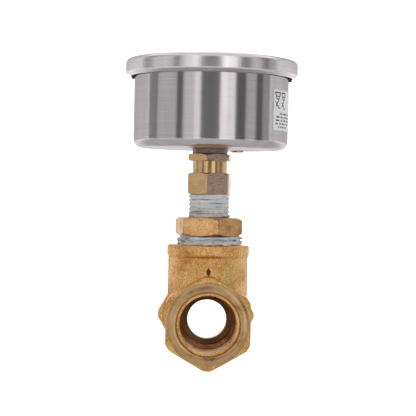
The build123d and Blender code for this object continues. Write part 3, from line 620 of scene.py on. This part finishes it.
def casting():
    """The tee's outside as cast: hexagon, barrel, tail and branch flowing into one another."""
    inlet = along_run(hexagon(
        "inlet", INLET_FLATS, INLET_CORNER_R, 0, INLET_LENGTH, clock=30, axis=RUN, edge=0.3
    ))
    barrel = along_run(turned("barrel", [
        (BARREL_R, INLET_LENGTH - 1), (BARREL_R, BARREL_END, 1.2), (TAIL_R, BARREL_END),
        (TAIL_R, BARREL_END + 1.5),
    ], RUN, solid=True))
    branch = turned("branch", [
        (BRANCH_R, 0), (BRANCH_R, BAND_BOTTOM), (BAND_R, BAND_BOTTOM, 0.7),
        (BAND_R, BRANCH_TOP, 0.9), (BORE_R, BRANCH_TOP),
    ], GAUGE, solid=True)
    deselect()
    bpy.ops.mesh.primitive_cube_add(size=1, location=(0, GAUGE[1] * MM, BAND_BOTTOM / 2 * MM))
    seam = bpy.context.object
    seam_height, seam_width = 0.4, 1.2
    seam.scale = (2 * (BRANCH_R + seam_height) * MM, seam_width * MM, BAND_BOTTOM * MM)
    settle(seam)
    body = joined("casting", [inlet, barrel, branch, seam])
    skin = body.modifiers.new("skin", "REMESH")
    skin.mode = "VOXEL"
    skin.voxel_size = 0.32 * MM
    flow = body.modifiers.new("flow", "SMOOTH")
    flow.factor = 0.5
    flow.iterations = 2
    apply_all(body)
    return body


def waterway():
    """The tool for the bore: threaded inlet, shoulder, throat and outlet."""
    low, high = tee_low.y - 2, tee_high.y + 2
    throat = 2.0  # half its length
    return along_run(turned("waterway", [
        (BORE_R + 0.6, low), (BORE_R + 0.6, -0.6),
        *thread_corners(BORE_R, THREAD_ROOT_R, THREAD_PITCH, 0, THREAD_DEPTH),
        (SHOULDER_R, THREAD_DEPTH + 0.6), (SHOULDER_R, GAUGE[1] - throat - 0.6),
        (THROAT_R, GAUGE[1] - throat), (THROAT_R, GAUGE[1] + throat),
        (OUTLET_R, GAUGE[1] + throat + 0.6), (OUTLET_R, high),
    ], RUN, solid=True, steps=BORED_STEPS))


def tail():
    """The turned tail with the retaining ring's groove."""
    low, high = box("nut_retaining_ring")
    seat_r = 10.2
    return along_run(turned("tail", [
        (OUTLET_R + 0.02, BARREL_END + 1), (TAIL_R, BARREL_END + 1), (TAIL_R, low.y),
        (seat_r, low.y), (seat_r, high.y), (TAIL_R, high.y), (TAIL_R, tee_high.y, 0.3),
        (OUTLET_R + 0.02, tee_high.y),
    ], RUN, steps=BORED_STEPS))


def mouth_bead():
    """The rounded bead faced on the inlet round its mouth."""
    return along_run(turned("bead", [
        (BORE_R + 0.1, 1.6), (BORE_R + 0.1, 0.2, 0.1), (9.62, -0.05, 0.1), (9.85, 0.7, 0.12),
        (10.5, tee_low.y + 0.25, 0.5), (11.5, tee_low.y + 0.02, 0.9), (12.6, tee_low.y + 0.22, 0.9),
        (13.4, tee_low.y + 0.75, 0.6), (13.4, 1.6),
    ], RUN, steps=BORED_STEPS))


def punch_mark():
    """The tool for a plain lozenge struck in the front of the branch."""
    height, radius, thick = 16.4, 1.3, 1.0
    deselect()
    bpy.ops.mesh.primitive_cylinder_add(
        vertices=4, radius=radius * MM, depth=thick * MM,
        location=(0, (GAUGE[1] - BRANCH_R) * MM, height * MM), rotation=(math.pi / 2, 0, 0),
    )
    mark = bpy.context.object
    mark.scale = (0.62, 1.25, 1)
    settle(mark)
    # The lozenge takes the dark bore material: painted shade in the struck recess.
    return paint(mark, BORE)


def tee():
    """The tee: casting, bored through, with the branch's socket and the passage up into it."""
    socket_r, socket_floor, socket_neck, socket_mouth_r = 9.95, 12.0, 24.7, 10.4
    passage_r, passage_y, passage_low, passage_high = 2.5, 19, 4, 14
    body = paint(casting(), CAST, MACHINED, THREAD, BORE)
    tool = paint(waterway(), THREAD, BORE)
    # Faces of the bore past DARK_BEYOND take the dark bore material, painted shade; the rest take the
    # thread's tint.
    for face in tool.data.polygons:
        face.material_index = 1 if face.center.y > DARK_BEYOND * MM else 0
    cut(body, tool)
    socket = turned("socket", [
        (socket_r, socket_floor), (socket_r, socket_neck), (socket_mouth_r, BRANCH_TOP + 1),
    ], solid=True, steps=BORED_STEPS)
    cut(body, paint(socket, MACHINED))
    deselect()
    bpy.ops.mesh.primitive_cylinder_add(
        vertices=48, radius=passage_r * MM, depth=(passage_high - passage_low) * MM,
        location=(0, passage_y * MM, (passage_low + passage_high) / 2 * MM),
    )
    cut(body, paint(bpy.context.object, MACHINED))
    cut(body, punch_mark())
    body = joined("tee", [body, paint(tail(), MACHINED), paint(mouth_bead(), MACHINED)])
    fitted(smooth(body, 40, flats=False), "root", "cast_bronze", "tee_body")


def nut():
    """The captive nut behind the tee, open to the rear."""
    low, high = box("swivel_nut")
    body = hexagon("nut", NUT_FLATS, NUT_CORNER_R, low.y, high.y, clock=0, axis=RUN, edge=0.35)
    shoulder_r, relief_r, minor_r, major_r = 10.9, 13.3, 12.1, 13.2
    shoulder_end, relief_end, thread_start = 42.0, 46.3, 46.8
    hole = turned("hole", [
        (shoulder_r, low.y - 1), (shoulder_r, shoulder_end), (relief_r, shoulder_end),
        (relief_r, relief_end),
        *thread_corners(minor_r, major_r, THREAD_PITCH, thread_start, high.y - 0.5),
        (minor_r + 0.6, high.y + 0.1), (minor_r + 0.6, high.y + 1),
    ], RUN, solid=True, steps=BORED_STEPS)
    paint(body, CAST, MACHINED)
    cut(body, paint(hole, MACHINED))
    fitted(smooth(along_run(body), 35), "swivel_nut", "cast_bronze", "swivel_nut")


# ---------- Bushing, stem and their tape ----------

def bushing():
    """Hexagon bushing: wrench hexagon, plain shank under the tape and a bore for the stem."""
    head = hexagon(
        "bushing", BUSHING_FLATS, BUSHING_CORNER_R, BUSHING_HEX_BOTTOM, BUSHING_TOP,
        clock=BUSHING_CLOCK, edge=0.8,
    )
    nose_r, shank_r, taped_r = 9.0, 9.9, 8.8
    shank = turned("shank", [
        (nose_r, bushing_bottom + 0.4), (shank_r, bushing_bottom + 1.2), (shank_r, BRANCH_TOP - 0.6),
        (taped_r, BRANCH_TOP - 0.2), (taped_r, BUSHING_HEX_BOTTOM + 0.5),
    ], solid=True)
    passage_r, stem_hole_r, countersink_r, stem_seat = 5.0, 6.33, 7.3, 22.0
    bore = turned("bore", [
        (passage_r, bushing_bottom - 1), (passage_r, stem_seat), (stem_hole_r, stem_seat),
        (stem_hole_r, BUSHING_TOP - 0.8), (countersink_r, BUSHING_TOP + 0.2),
        (countersink_r, BUSHING_TOP + 1),
    ], solid=True, steps=SMALL_STEPS)
    cut(shank, twin(bore))
    cut(head, bore)
    body = paint(joined("bushing", [head, shank]), COPPER)
    fitted(smooth(body, 35), "root", "copper_bronze", "reducing_bushing")


def wound_tape(name, crest, root, pitch, low, high, creasing=0.2):
    """Tape drawn down over a thread: a helix of ridges with a slightly crumpled skin."""
    turns = math.ceil((high - low) / pitch) + 2
    flank, shoulder = root + 0.25 * (crest - root), crest - 0.08
    ridge = [(root, 0.0), (flank, 0.14), (shoulder, 0.32), (crest, 0.5), (shoulder, 0.68),
             (flank, 0.86), (root, 1.0)]
    outline = bpy.data.meshes.new(name)
    start = low - pitch
    outline.from_pydata(
        [(radius * MM, 0, (start + share * pitch) * MM) for radius, share in ridge],
        [(i, i + 1) for i in range(len(ridge) - 1)], [],
    )
    piece = bpy.data.objects.new(name, outline)
    bpy.context.scene.collection.objects.link(piece)
    winding = piece.modifiers.new("winding", "SCREW")
    winding.angle = math.tau
    winding.screw_offset = pitch * MM
    winding.iterations = turns
    winding.steps = winding.render_steps = SMALL_STEPS
    winding.use_merge_vertices = True
    winding.merge_threshold = 1e-6
    apply_all(piece)
    outward(piece)
    wall = piece.modifiers.new("wall", "SOLIDIFY")
    wall.thickness = 0.45 * MM
    wall.offset = -1
    apply_all(piece)
    crumple = bpy.data.textures.new(name + " crumple", "CLOUDS")
    crumple.noise_scale = 1.1 * MM
    crumple.noise_depth = 3
    creased = piece.modifiers.new("creases", "DISPLACE")
    creased.texture = crumple
    creased.texture_coords = "GLOBAL"
    creased.strength = creasing * MM
    creased.mid_level = 0.5
    apply_all(piece)
    for height, upper in ((low, False), (high, True)):
        choose(piece)
        bpy.ops.object.mode_set(mode="EDIT")
        bpy.ops.mesh.select_all(action="SELECT")
        bpy.ops.mesh.bisect(
            plane_co=(0, 0, height * MM), plane_no=(0, 0, 1), use_fill=True,
            clear_inner=not upper, clear_outer=upper,
        )
        bpy.ops.object.mode_set(mode="OBJECT")
    piece.location = (GAUGE[0] * MM, GAUGE[1] * MM, 0)
    settle(piece)
    return outward(piece)


def tape_flap(radius, angle, sweep, height, width, lift, waves):
    """A loose end of tape: a thin ribbon that follows the thread, rises off it and waves.

    It starts at the angle, in degrees to the right of the front, and goes on for the sweep.
    """
    deselect()
    bpy.ops.mesh.primitive_grid_add(x_subdivisions=40, y_subdivisions=5, size=1)
    flap = bpy.context.object
    for vertex in flap.data.vertices:
        along, across = vertex.co.x + 0.5, vertex.co.y
        turn = math.radians(angle + sweep * along)
        out = radius + lift * along ** 2 + 0.12 * math.sin(waves * along * math.tau + 4 * across)
        out += 0.25 * across * math.sin(waves * 0.7 * along * math.tau + 1)
        up = height + width * across * (1 - 0.35 * along) + 0.16 * math.sin(waves * 1.3 * along * math.tau)
        vertex.co = Vector((out * math.sin(turn), -out * math.cos(turn) + GAUGE[1], up)) * MM
    body = flap.modifiers.new("body", "SOLIDIFY")
    body.thickness = 0.09 * MM
    apply_all(flap)
    return flap


def taped_threads():
    """Tape on the stem's thread and on the bushing's, with the loose ends left by fitting."""
    low, high = heights("stem_thread_tape")
    tape = wound_tape("stem_tape", crest=6.95, root=6.55, pitch=1.411, low=low, high=high)
    flaps = [tape_flap(*loose) for loose in (
        # radius, angle, sweep, height, width, lift, waves
        (6.75, -150, 70, high - 0.7, 1.0, 0.35, 2.0),
        (6.8, 20, 60, low + 0.6, 0.9, 0.5, 2.5),
        (7.0, -75, 50, low + 0.3, 0.7, 0.5, 3.0),
    )]
    tape = paint(joined("stem_tape", [tape, *flaps]), TAPE)
    fitted(smooth(tape, 60), "root", "ptfe_tape", "stem_thread_tape")

    low, high = heights("bushing_thread_tape")
    tape = wound_tape("bushing_tape", crest=10.65, root=9.5, pitch=THREAD_PITCH, low=low, high=high,
                      creasing=0.55)
    flaps = [tape_flap(*loose) for loose in (
        (10.3, 25, 75, low + 0.55, 1.0, 0.9, 3.0),
        (10.5, -60, 100, low + 0.35, 0.7, 0.7, 4.0),
        (10.4, 60, 50, low + 1.5, 1.2, 1.0, 2.0),
        (10.45, 50, 45, high - 0.6, 0.9, 1.2, 3.0),
        (10.5, 66, 30, low + 0.9, 1.4, 1.3, 4.0),
        (10.3, -115, 60, low + 0.9, 1.1, 0.8, 2.0),
        (10.4, 150, 90, low + 0.8, 1.0, 0.6, 3.0),
    )]
    tape = paint(joined("bushing_tape", [tape, *flaps]), TAPE)
    fitted(smooth(tape, 60), "root", "ptfe_tape", "bushing_thread_tape")


def stem():
    """The gauge's stem: plain under the tape, two hexagons, a neck, a collar and the spigot."""
    hexagons = [
        hexagon(name, STEM_FLATS, STEM_CORNER_R, low, high, clock=STEM_CLOCK, edge=0.22)
        for name, low, high in (
            ("thick", STEM_HEX_BOTTOM, STEM_HEX_TOP), ("thin", THIN_HEX_BOTTOM, THIN_HEX_TOP),
        )
    ]
    for part in hexagons:
        paint(part, BRASS, GREY_REFLECTION)
        # The flat facing STEM_CLOCK is painted greyer: a painted reflection.
        for face in part.data.polygons:
            grey_reflection_face = abs(around(face.normal) - STEM_CLOCK) < 8 and abs(face.normal.z) < 0.1
            face.material_index = 1 if grey_reflection_face else 0
    shank_r, collar_r, bore_r, restrictor_r, restrictor_end = 6.0, 5.95, 1.5, 2.5, 30.0
    core = turned("core", [
        (restrictor_r, stem_bottom), (shank_r, stem_bottom, 0.5), (shank_r, STEM_HEX_BOTTOM + 0.5),
        (NECK_R, STEM_HEX_BOTTOM + 1), (NECK_R, THIN_HEX_TOP - 0.2), (collar_r, THIN_HEX_TOP),
        (collar_r, case_floor), (SPIGOT_R, case_floor), (SPIGOT_R, SPIGOT_TOP, 0.3),
        (bore_r, SPIGOT_TOP), (bore_r, restrictor_end), (restrictor_r, restrictor_end),
    ])
    paint(core, BRASS, COLLAR_SHADE)
    # The collar between the thin hexagon and the case floor takes the darker brass: painted shade under
    # the case.
    for face in core.data.polygons:
        face.material_index = 1 if THIN_HEX_TOP - 0.1 < face.center.z / MM < case_floor else 0
    body = joined("stem", [*hexagons, core])
    fitted(smooth(body, 35), "root", "brass", "gauge_stem")


# ---------- Case, bezel, gasket and window ----------

def case():
    """Drawn cup with a flange round its rim and a hole in its floor for the stem's spigot."""
    inner = CASE_R - SHEET
    flange_z = flange_top - SHEET
    cup = turned("gauge_case", [
        (SPIGOT_HOLE_R, case_floor), (CASE_R, case_floor, CASE_ROUND), (CASE_R, flange_z, 0.2),
        (FLANGE_R, flange_z), (FLANGE_R, flange_top), (inner, flange_top),
        (inner, case_floor + SHEET, CASE_ROUND - SHEET), (SPIGOT_HOLE_R, case_floor + SHEET),
    ])
    fitted(smooth(paint(cup, CASE_STEEL), 35), "root", "stainless_case", "case")


def bezel():
    """Rolled ring: lip, plain wall, rounded shoulder, and a raised bead inside the shoulder."""
    wall = BEZEL_R - SHEET
    foot = window_high.z + 0.05
    lip_r, dip_r, bead_outer_r, bead_inner_r, foot_r = 27.3, 27.2, 26.3, 25.1, 24.7
    ring = turned("bezel", [
        (lip_r, BEZEL_LIP, 0.12), (BEZEL_R, BEZEL_LIP + 1.1, 0.6), (BEZEL_R, BEZEL_TOP - 0.45, 1.7),
        (dip_r, BEZEL_TOP - 0.28, 0.6), (bead_outer_r, BEZEL_TOP, 0.5), (bead_inner_r, BEZEL_TOP, 0.6),
        (foot_r, foot, 0.1), (foot_r + SHEET, foot, 0.1), (bead_inner_r + 0.5, BEZEL_TOP - 0.7, 0.2),
        (wall, BEZEL_TOP - 0.9, 1.1), (wall, BEZEL_LIP + 1.45, 0.2), (dip_r, BEZEL_LIP + 0.6),
    ])
    fitted(smooth(paint(ring, BEZEL_STEEL), 35), "root", "stainless_bezel", "bezel_ring")


def gasket():
    """U-section rubber whose lower edge is squeezed out under the bezel's lip at both sides."""
    low, high = heights("bezel_gasket")
    inner = CASE_R - SHEET
    case_side, flange_side = CASE_R + 0.02, FLANGE_R + 0.02
    edge_r, outer_r = 27.15, 28.5
    ring = turned("gasket", [
        (case_side, low, 0.1), (edge_r, low, 0.35), (edge_r, BEZEL_LIP + 0.65),
        (outer_r, BEZEL_LIP + 1.5), (outer_r, high), (inner, high), (inner, flange_top),
        (flange_side, flange_top), (flange_side, flange_top - SHEET),
        (case_side, flange_top - SHEET),
    ])
    for vertex in ring.data.vertices:
        drop = BEZEL_LIP + 0.3 - vertex.co.z / MM
        if drop > 0:
            ahead = vertex.co.y - GAUGE[1] * MM
            facing = abs(ahead) / math.hypot(vertex.co.x, ahead)
            vertex.co.z += drop * min(1.0, 4 * facing) * MM
    fitted(smooth(paint(ring, RUBBER), 35), "root", "black_rubber", "bezel_gasket")


def window():
    """Clear disc under the bezel, its edges rounded."""
    middle_r = 0.5
    pane = turned("pane", [
        (middle_r, window_low.z), (window_high.x, window_low.z, 0.2),
        (window_high.x, window_high.z, 0.4), (middle_r, window_high.z),
    ], solid=True)
    fitted(smooth(paint(pane, GLASS), 35), "root", "clear_window", "window")


# ---------- Label on the case wall ----------

# Strokes of one outline drawing: width, height, distance across, distance down, lean.
DRAWING = (
    (3.4, 0.4, 0.0, 0.0, 0.0), (0.42, 2.0, -1.1, 1.1, -0.5), (0.42, 2.0, 1.1, 1.1, 0.5),
    (1.5, 0.3, 0.0, 1.2, 0.0), (1.3, 0.35, 0.0, 2.1, 0.0), (0.5, 2.3, -0.3, 3.4, 0.75),
    (0.4, 1.3, -0.9, 3.7, -0.7), (0.45, 1.2, 0.2, 4.6, -0.6),
)
# Rows of dashes: width of the row, distance in from the label's left edge.
PRINT_ROWS = ((14.0, 3.6), (12.5, 1.5), (13.4, 1.2), (11.0, 0.9), (7.5, 2.4))
DASHES = 5


def flat_shape(name, width, height, across, up, material, corner=0.0, thick=0.03, lean=0.0):
    """A flat printed shape, fine enough across to be laid on a curve, leaning if asked to."""
    deselect()
    columns = max(2, int(width / 0.7))
    bpy.ops.mesh.primitive_grid_add(x_subdivisions=columns, y_subdivisions=2, size=1)
    shape = bpy.context.object
    shape.name = name
    for vertex in shape.data.vertices:
        x, y = vertex.co.x * width, vertex.co.y * height
        edge = max(0.0, abs(x) - (width / 2 - corner))
        if corner and edge:
            y *= 1 - (corner - math.sqrt(max(0.0, corner ** 2 - edge ** 2))) * 2 / height
        vertex.co = (x + across + lean * y, 0, y + up)
    body = shape.modifiers.new("body", "SOLIDIFY")
    body.thickness = thick
    body.offset = 0
    apply_all(shape)
    return paint(shape, material)


def onto_case(shape, lift):
    """Wraps a flat shape in X and Z round the case wall, its X becoming distance round it."""
    for vertex in shape.data.vertices:
        angle = vertex.co.x / CASE_R
        out = CASE_R + lift - vertex.co.y
        place = Vector((out * math.sin(angle), GAUGE[1] - out * math.cos(angle), vertex.co.z))
        vertex.co = place * MM
    return outward(shape)


def label():
    """White sticker: two plain outline drawings, red spots, rows of dashes and a block of bars."""
    raised = 0.6  # above the CAD label's place
    low, high = (height + raised for height in heights("rating_label"))
    span = math.radians(68.0) * CASE_R
    middle = math.radians(84.0) * CASE_R
    film = flat_shape(
        "label", span, high - low, middle, (low + high) / 2, LABEL_FILM, corner=0.25, thick=0.06
    )
    fitted(smooth(onto_case(film, 0.04), 40), "root", "label_white", "rating_label")
    left = middle - span / 2
    marks = []
    for drawing in range(2):
        across = left + 2.5 + 4.1 * drawing
        top = high - 1.0
        for width, tall, over, down, lean in DRAWING:
            marks.append(flat_shape(
                "line", width, tall, across + over, top - down, BLACK_INK, lean=lean
            ))
        marks.append(flat_shape("spot", 1.2, 0.5, across + 1.2, top - 5.1, RED_INK, corner=0.2))
    for row, (width, indent) in enumerate(PRINT_ROWS):
        share = width / DASHES
        for dash in range(DASHES):
            marks.append(flat_shape(
                "dash", share * (0.62 + 0.22 * math.sin(2.3 * dash + row)), 0.42,
                left + indent + share * (dash + 0.5), high - 7.9 - 1.1 * row, BLACK_INK,
            ))
    for bar in range(9):
        marks.append(flat_shape(
            "bar", 0.3 + 0.25 * (bar % 3), 4.4, middle + 4.5 + bar * 0.95, high - 3.8, BLACK_INK
        ))
    for mark in marks:
        onto_case(mark, 0.085)
    fitted(joined("label_print", marks), "root", "label_white")


# ---------- Dial ----------

DIAL_START, DIAL_SWEEP = 225.0, 270.0
DIAL_R, DIAL_HOLE_R, SCALE_R, FIGURE_R = 24.8, 1.6, 21.6, 15.6
DIAL_TOP = heights("dial")[1]
INK_THICK = 0.03


def on_dial(piece, share, radius):
    """Puts a printed mark on the dial, at a share of the scale and a radius. Returns it settled."""
    angle = math.radians(DIAL_START - DIAL_SWEEP * share)
    piece.location = (
        radius * math.cos(angle) * MM, (GAUGE[1] + radius * math.sin(angle)) * MM,
        (DIAL_TOP + INK_THICK / 2) * MM,
    )
    settle(piece)
    return piece


def dial_stroke(share, length, width):
    """One printed stroke of the scale, pointing at the centre."""
    deselect()
    bpy.ops.mesh.primitive_cube_add(size=1)
    stroke = bpy.context.object
    stroke.scale = (length * MM, width * MM, INK_THICK * MM)
    stroke.rotation_euler = (0, 0, math.radians(DIAL_START - DIAL_SWEEP * share))
    return on_dial(stroke, share, SCALE_R - length / 2)


def dial_figure(share, value):
    """One printed number, upright on the dial."""
    deselect()
    bpy.ops.object.text_add()
    figure = bpy.context.object
    figure.data.body = str(value)
    figure.data.align_x = "CENTER"
    figure.data.align_y = "CENTER"
    figure.data.size = 4.2 * MM
    figure.data.extrude = INK_THICK / 2 * MM
    bpy.ops.object.convert(target="MESH")
    return on_dial(bpy.context.object, share, FIGURE_R)


def dial():
    """White dial plate with a printed scale from 0 to 10."""
    low, high = heights("dial")
    plate = turned("dial_plate", [
        (DIAL_HOLE_R, low), (DIAL_R, low), (DIAL_R, high, 0.1), (DIAL_HOLE_R, high, 0.05),
    ])
    fitted(smooth(paint(plate, DIAL_PAINT), 35), "root", "dial_white", "dial")
    marks = []
    for mark in range(51):
        size = (3.4, 0.5) if mark % 10 == 0 else (2.6, 0.32) if mark % 5 == 0 else (1.7, 0.2)
        marks.append(dial_stroke(mark / 50, *size))
    for figure in range(6):
        marks.append(dial_figure(figure / 5, 2 * figure))
    arc = turned("arc", [
        (SCALE_R, high), (SCALE_R + 0.3, high), (SCALE_R + 0.3, high + INK_THICK),
        (SCALE_R, high + INK_THICK),
    ])
    drop_faces(arc, lambda face: face.center.y - GAUGE[1] * MM < -abs(face.center.x))
    bpy.ops.object.mode_set(mode="EDIT")
    bpy.ops.mesh.select_all(action="SELECT")
    bpy.ops.mesh.fill_holes(sides=0)
    bpy.ops.object.mode_set(mode="OBJECT")
    marks.append(outward(arc))
    fitted(paint(joined("dial_print", marks), BLACK_INK), "root", "dial_white")


# ---------- Pressure tube, the part that opens out as the pressure rises, here kept in one shape ---

def pressure_tube():
    """The curved tube's own shape in one closed skin, bending from its socket to its tip."""
    cad = frame["nodes"]["bourdon_tube"]
    tube = bpy.data.objects.new("pressure_tube", cad.data.copy())
    bpy.context.scene.collection.objects.link(tube)
    outward(paint(tube, PHOSPHOR))
    smooth(tube, 40, flats=False)
    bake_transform(tube)
    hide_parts("bourdon_tube")


# ---------- Everything else keeps its CAD shape ----------

SLOT_FINISH = {
    "cast_bronze": CAST, "copper_bronze": COPPER, "brass": BRASS, "ptfe_tape": TAPE,
    "stainless_case": CASE_STEEL, "stainless_bezel": BEZEL_STEEL, "steel": STEEL,
    "black_rubber": RUBBER, "clear_window": GLASS, "dial_white": DIAL_PAINT,
    "pointer_black": BLACK_PAINT, "phosphor_bronze": PHOSPHOR, "label_white": LABEL_FILM,
}


def finish_cad_nodes():
    """Gives every CAD node the finish of its material slot."""
    for row in frame["record"]["subparts"]:
        paint(frame["nodes"][row["node"]], SLOT_FINISH[row["material_slot"]])


# ---------- Floor, light and camera ----------

# The round wall's parts, by their angles: bright beyond BEHIND on either side and dim up to it.
# From LEFT_END to RIGHT_END, across the front, it is seen by the camera alone and lights nothing.
LEFT_END, RIGHT_END, BEHIND = -107.0, 97.0, 166
BACKDROP_GLOW, SIDE_GLOW = 1.0, 0.22
WALL_R, WALL_LOW, WALL_HIGH, FLOOR_HEIGHT = 2.4, -1.0, 4.0, -0.11


def wall_material(name, glow):
    """A pale wall that glows evenly."""
    return Finish(
        name, (0.8, 0.8, 0.8), 0.0, 0.8, Emission_Color=(1, 1, 1, 1), Emission_Strength=glow
    ).material


def floor_material():
    """Pale floor that glows only well behind the gauge, so that it meets the white backdrop."""
    finish = Finish("pale floor", (0.72, 0.72, 0.72), 0.0, 0.9, Emission_Color=(1, 1, 1, 1))
    split = finish.node("ShaderNodeSeparateXYZ", Vector=finish.place)
    glow = finish.node(
        "ShaderNodeMapRange", Value=split.outputs["Y"], From_Min=0.2, From_Max=0.5,
        To_Min=0.1, To_Max=0.8,
    )
    finish.links.new(glow.outputs["Result"], finish.shader.inputs["Emission Strength"])
    return finish.material


def curved_wall(name, material, keep):
    """The part of a round studio wall whose faces lie at the angles to keep."""
    deselect()
    bpy.ops.mesh.primitive_cylinder_add(
        vertices=72, radius=WALL_R, depth=WALL_HIGH - WALL_LOW, end_fill_type="NOTHING",
        location=(0, 0, (WALL_LOW + WALL_HIGH) / 2),
    )
    wall = paint(bpy.context.object, material)
    wall.name = name
    settle(wall)
    return drop_faces(wall, lambda face: not keep(around(face.center)))


def floor_and_backdrop():
    """A pale floor inside a round wall, which lights the gauge from behind and from both sides."""
    deselect()
    bpy.ops.mesh.primitive_plane_add(size=8, location=(0, 0, FLOOR_HEIGHT))
    floor = paint(bpy.context.object, floor_material())
    white = wall_material("white backdrop", BACKDROP_GLOW)
    pale = wall_material("pale backdrop", SIDE_GLOW)
    behind = curved_wall("backdrop", white, lambda at: abs(at) > BEHIND)
    beside = curved_wall(
        "side_backdrop", pale, lambda at: abs(at) <= BEHIND and not LEFT_END < at < RIGHT_END
    )
    front = curved_wall("front_backdrop", pale, lambda at: LEFT_END < at < RIGHT_END)
    front.visible_glossy = False
    front.visible_diffuse = False


# Softboxes round the gauge: the angles that each one's sides lie at, and its brightness.
SOFTBOXES = {
    "far left reflector": (-107, -88, 0.2), "far left softbox": (-86, -52, 0.5),
    "left softbox": (-42, -16, 0.62), "left strip": (-25, -16, 0.42),
    "front reflector": (-14, 10, 0.07), "right softbox": (11.5, 34, 1.02),
    "right strip": (11.5, 21, 0.15), "far right softbox": (50, 67, 0.45),
    "far right reflector": (79, 98, 0.28),
}


def lamp(name, width, height, glow):
    """An area light of even brightness, in metres, which the camera doesn't see."""
    light = bpy.data.lights.new(name, "AREA")
    light.shape = "RECTANGLE"
    light.size = width
    light.size_y = height
    light.energy = glow * math.pi * width * height
    made = bpy.data.objects.new(name, light)
    bpy.context.scene.collection.objects.link(made)
    made.visible_camera = False
    return made


def softbox(name, left, right, glow):
    """An upright softbox seen from the gauge between two angles."""
    distance, height, middle = 0.75, 0.9, 0.08
    angle = math.radians((left + right) / 2)
    width = 2 * distance * math.tan(math.radians((right - left) / 2))
    away = Vector((distance * math.sin(angle), -distance * math.cos(angle), 0))
    made = lamp(name, width, height, glow)
    made.location = away + Vector((0, GAUGE[1] * MM, middle))
    made.rotation_euler = (-away).to_track_quat("-Z", "Y").to_euler()


def lights():
    """A dim grey studio, the softboxes round the gauge and a wide one overhead."""
    world = bpy.data.worlds.new("studio")
    world.use_nodes = True
    world.node_tree.nodes["Background"].inputs["Color"].default_value = (0.13, 0.13, 0.135, 1)
    bpy.context.scene.world = world
    for name, (left, right, glow) in SOFTBOXES.items():
        softbox(name, left, right, glow)
    side = 1.8
    lamp("overhead softbox", side, side, 0.6).location = (0, -0.35, 0.8)


def camera():
    """Level with the stem, a little left of the bore's axis, with a long lens and a slight roll."""
    view = bpy.data.cameras.new("camera")
    view.sensor_width = 36
    view.lens = 121.2
    eye = bpy.data.objects.new("camera", view)
    bpy.context.scene.collection.objects.link(eye)
    distance, roll = 475, math.radians(1.2)
    place = Vector((-9.8, GAUGE[1] - distance, 40.2)) * MM
    aim = Vector((-0.34, GAUGE[1], 37.5)) * MM
    eye.location = place
    look = (aim - place).to_track_quat("-Z", "Y").to_matrix().to_4x4()
    eye.rotation_euler = (look @ Matrix.Rotation(roll, 4, "Z")).to_euler()
    bpy.context.scene.camera = eye


finish_cad_nodes()
tee()
nut()
bushing()
stem()
taped_threads()
case()
bezel()
gasket()
window()
label()
dial()
pressure_tube()
floor_and_backdrop()
lights()
camera()
bpy.context.scene.view_settings.view_transform = "Standard"
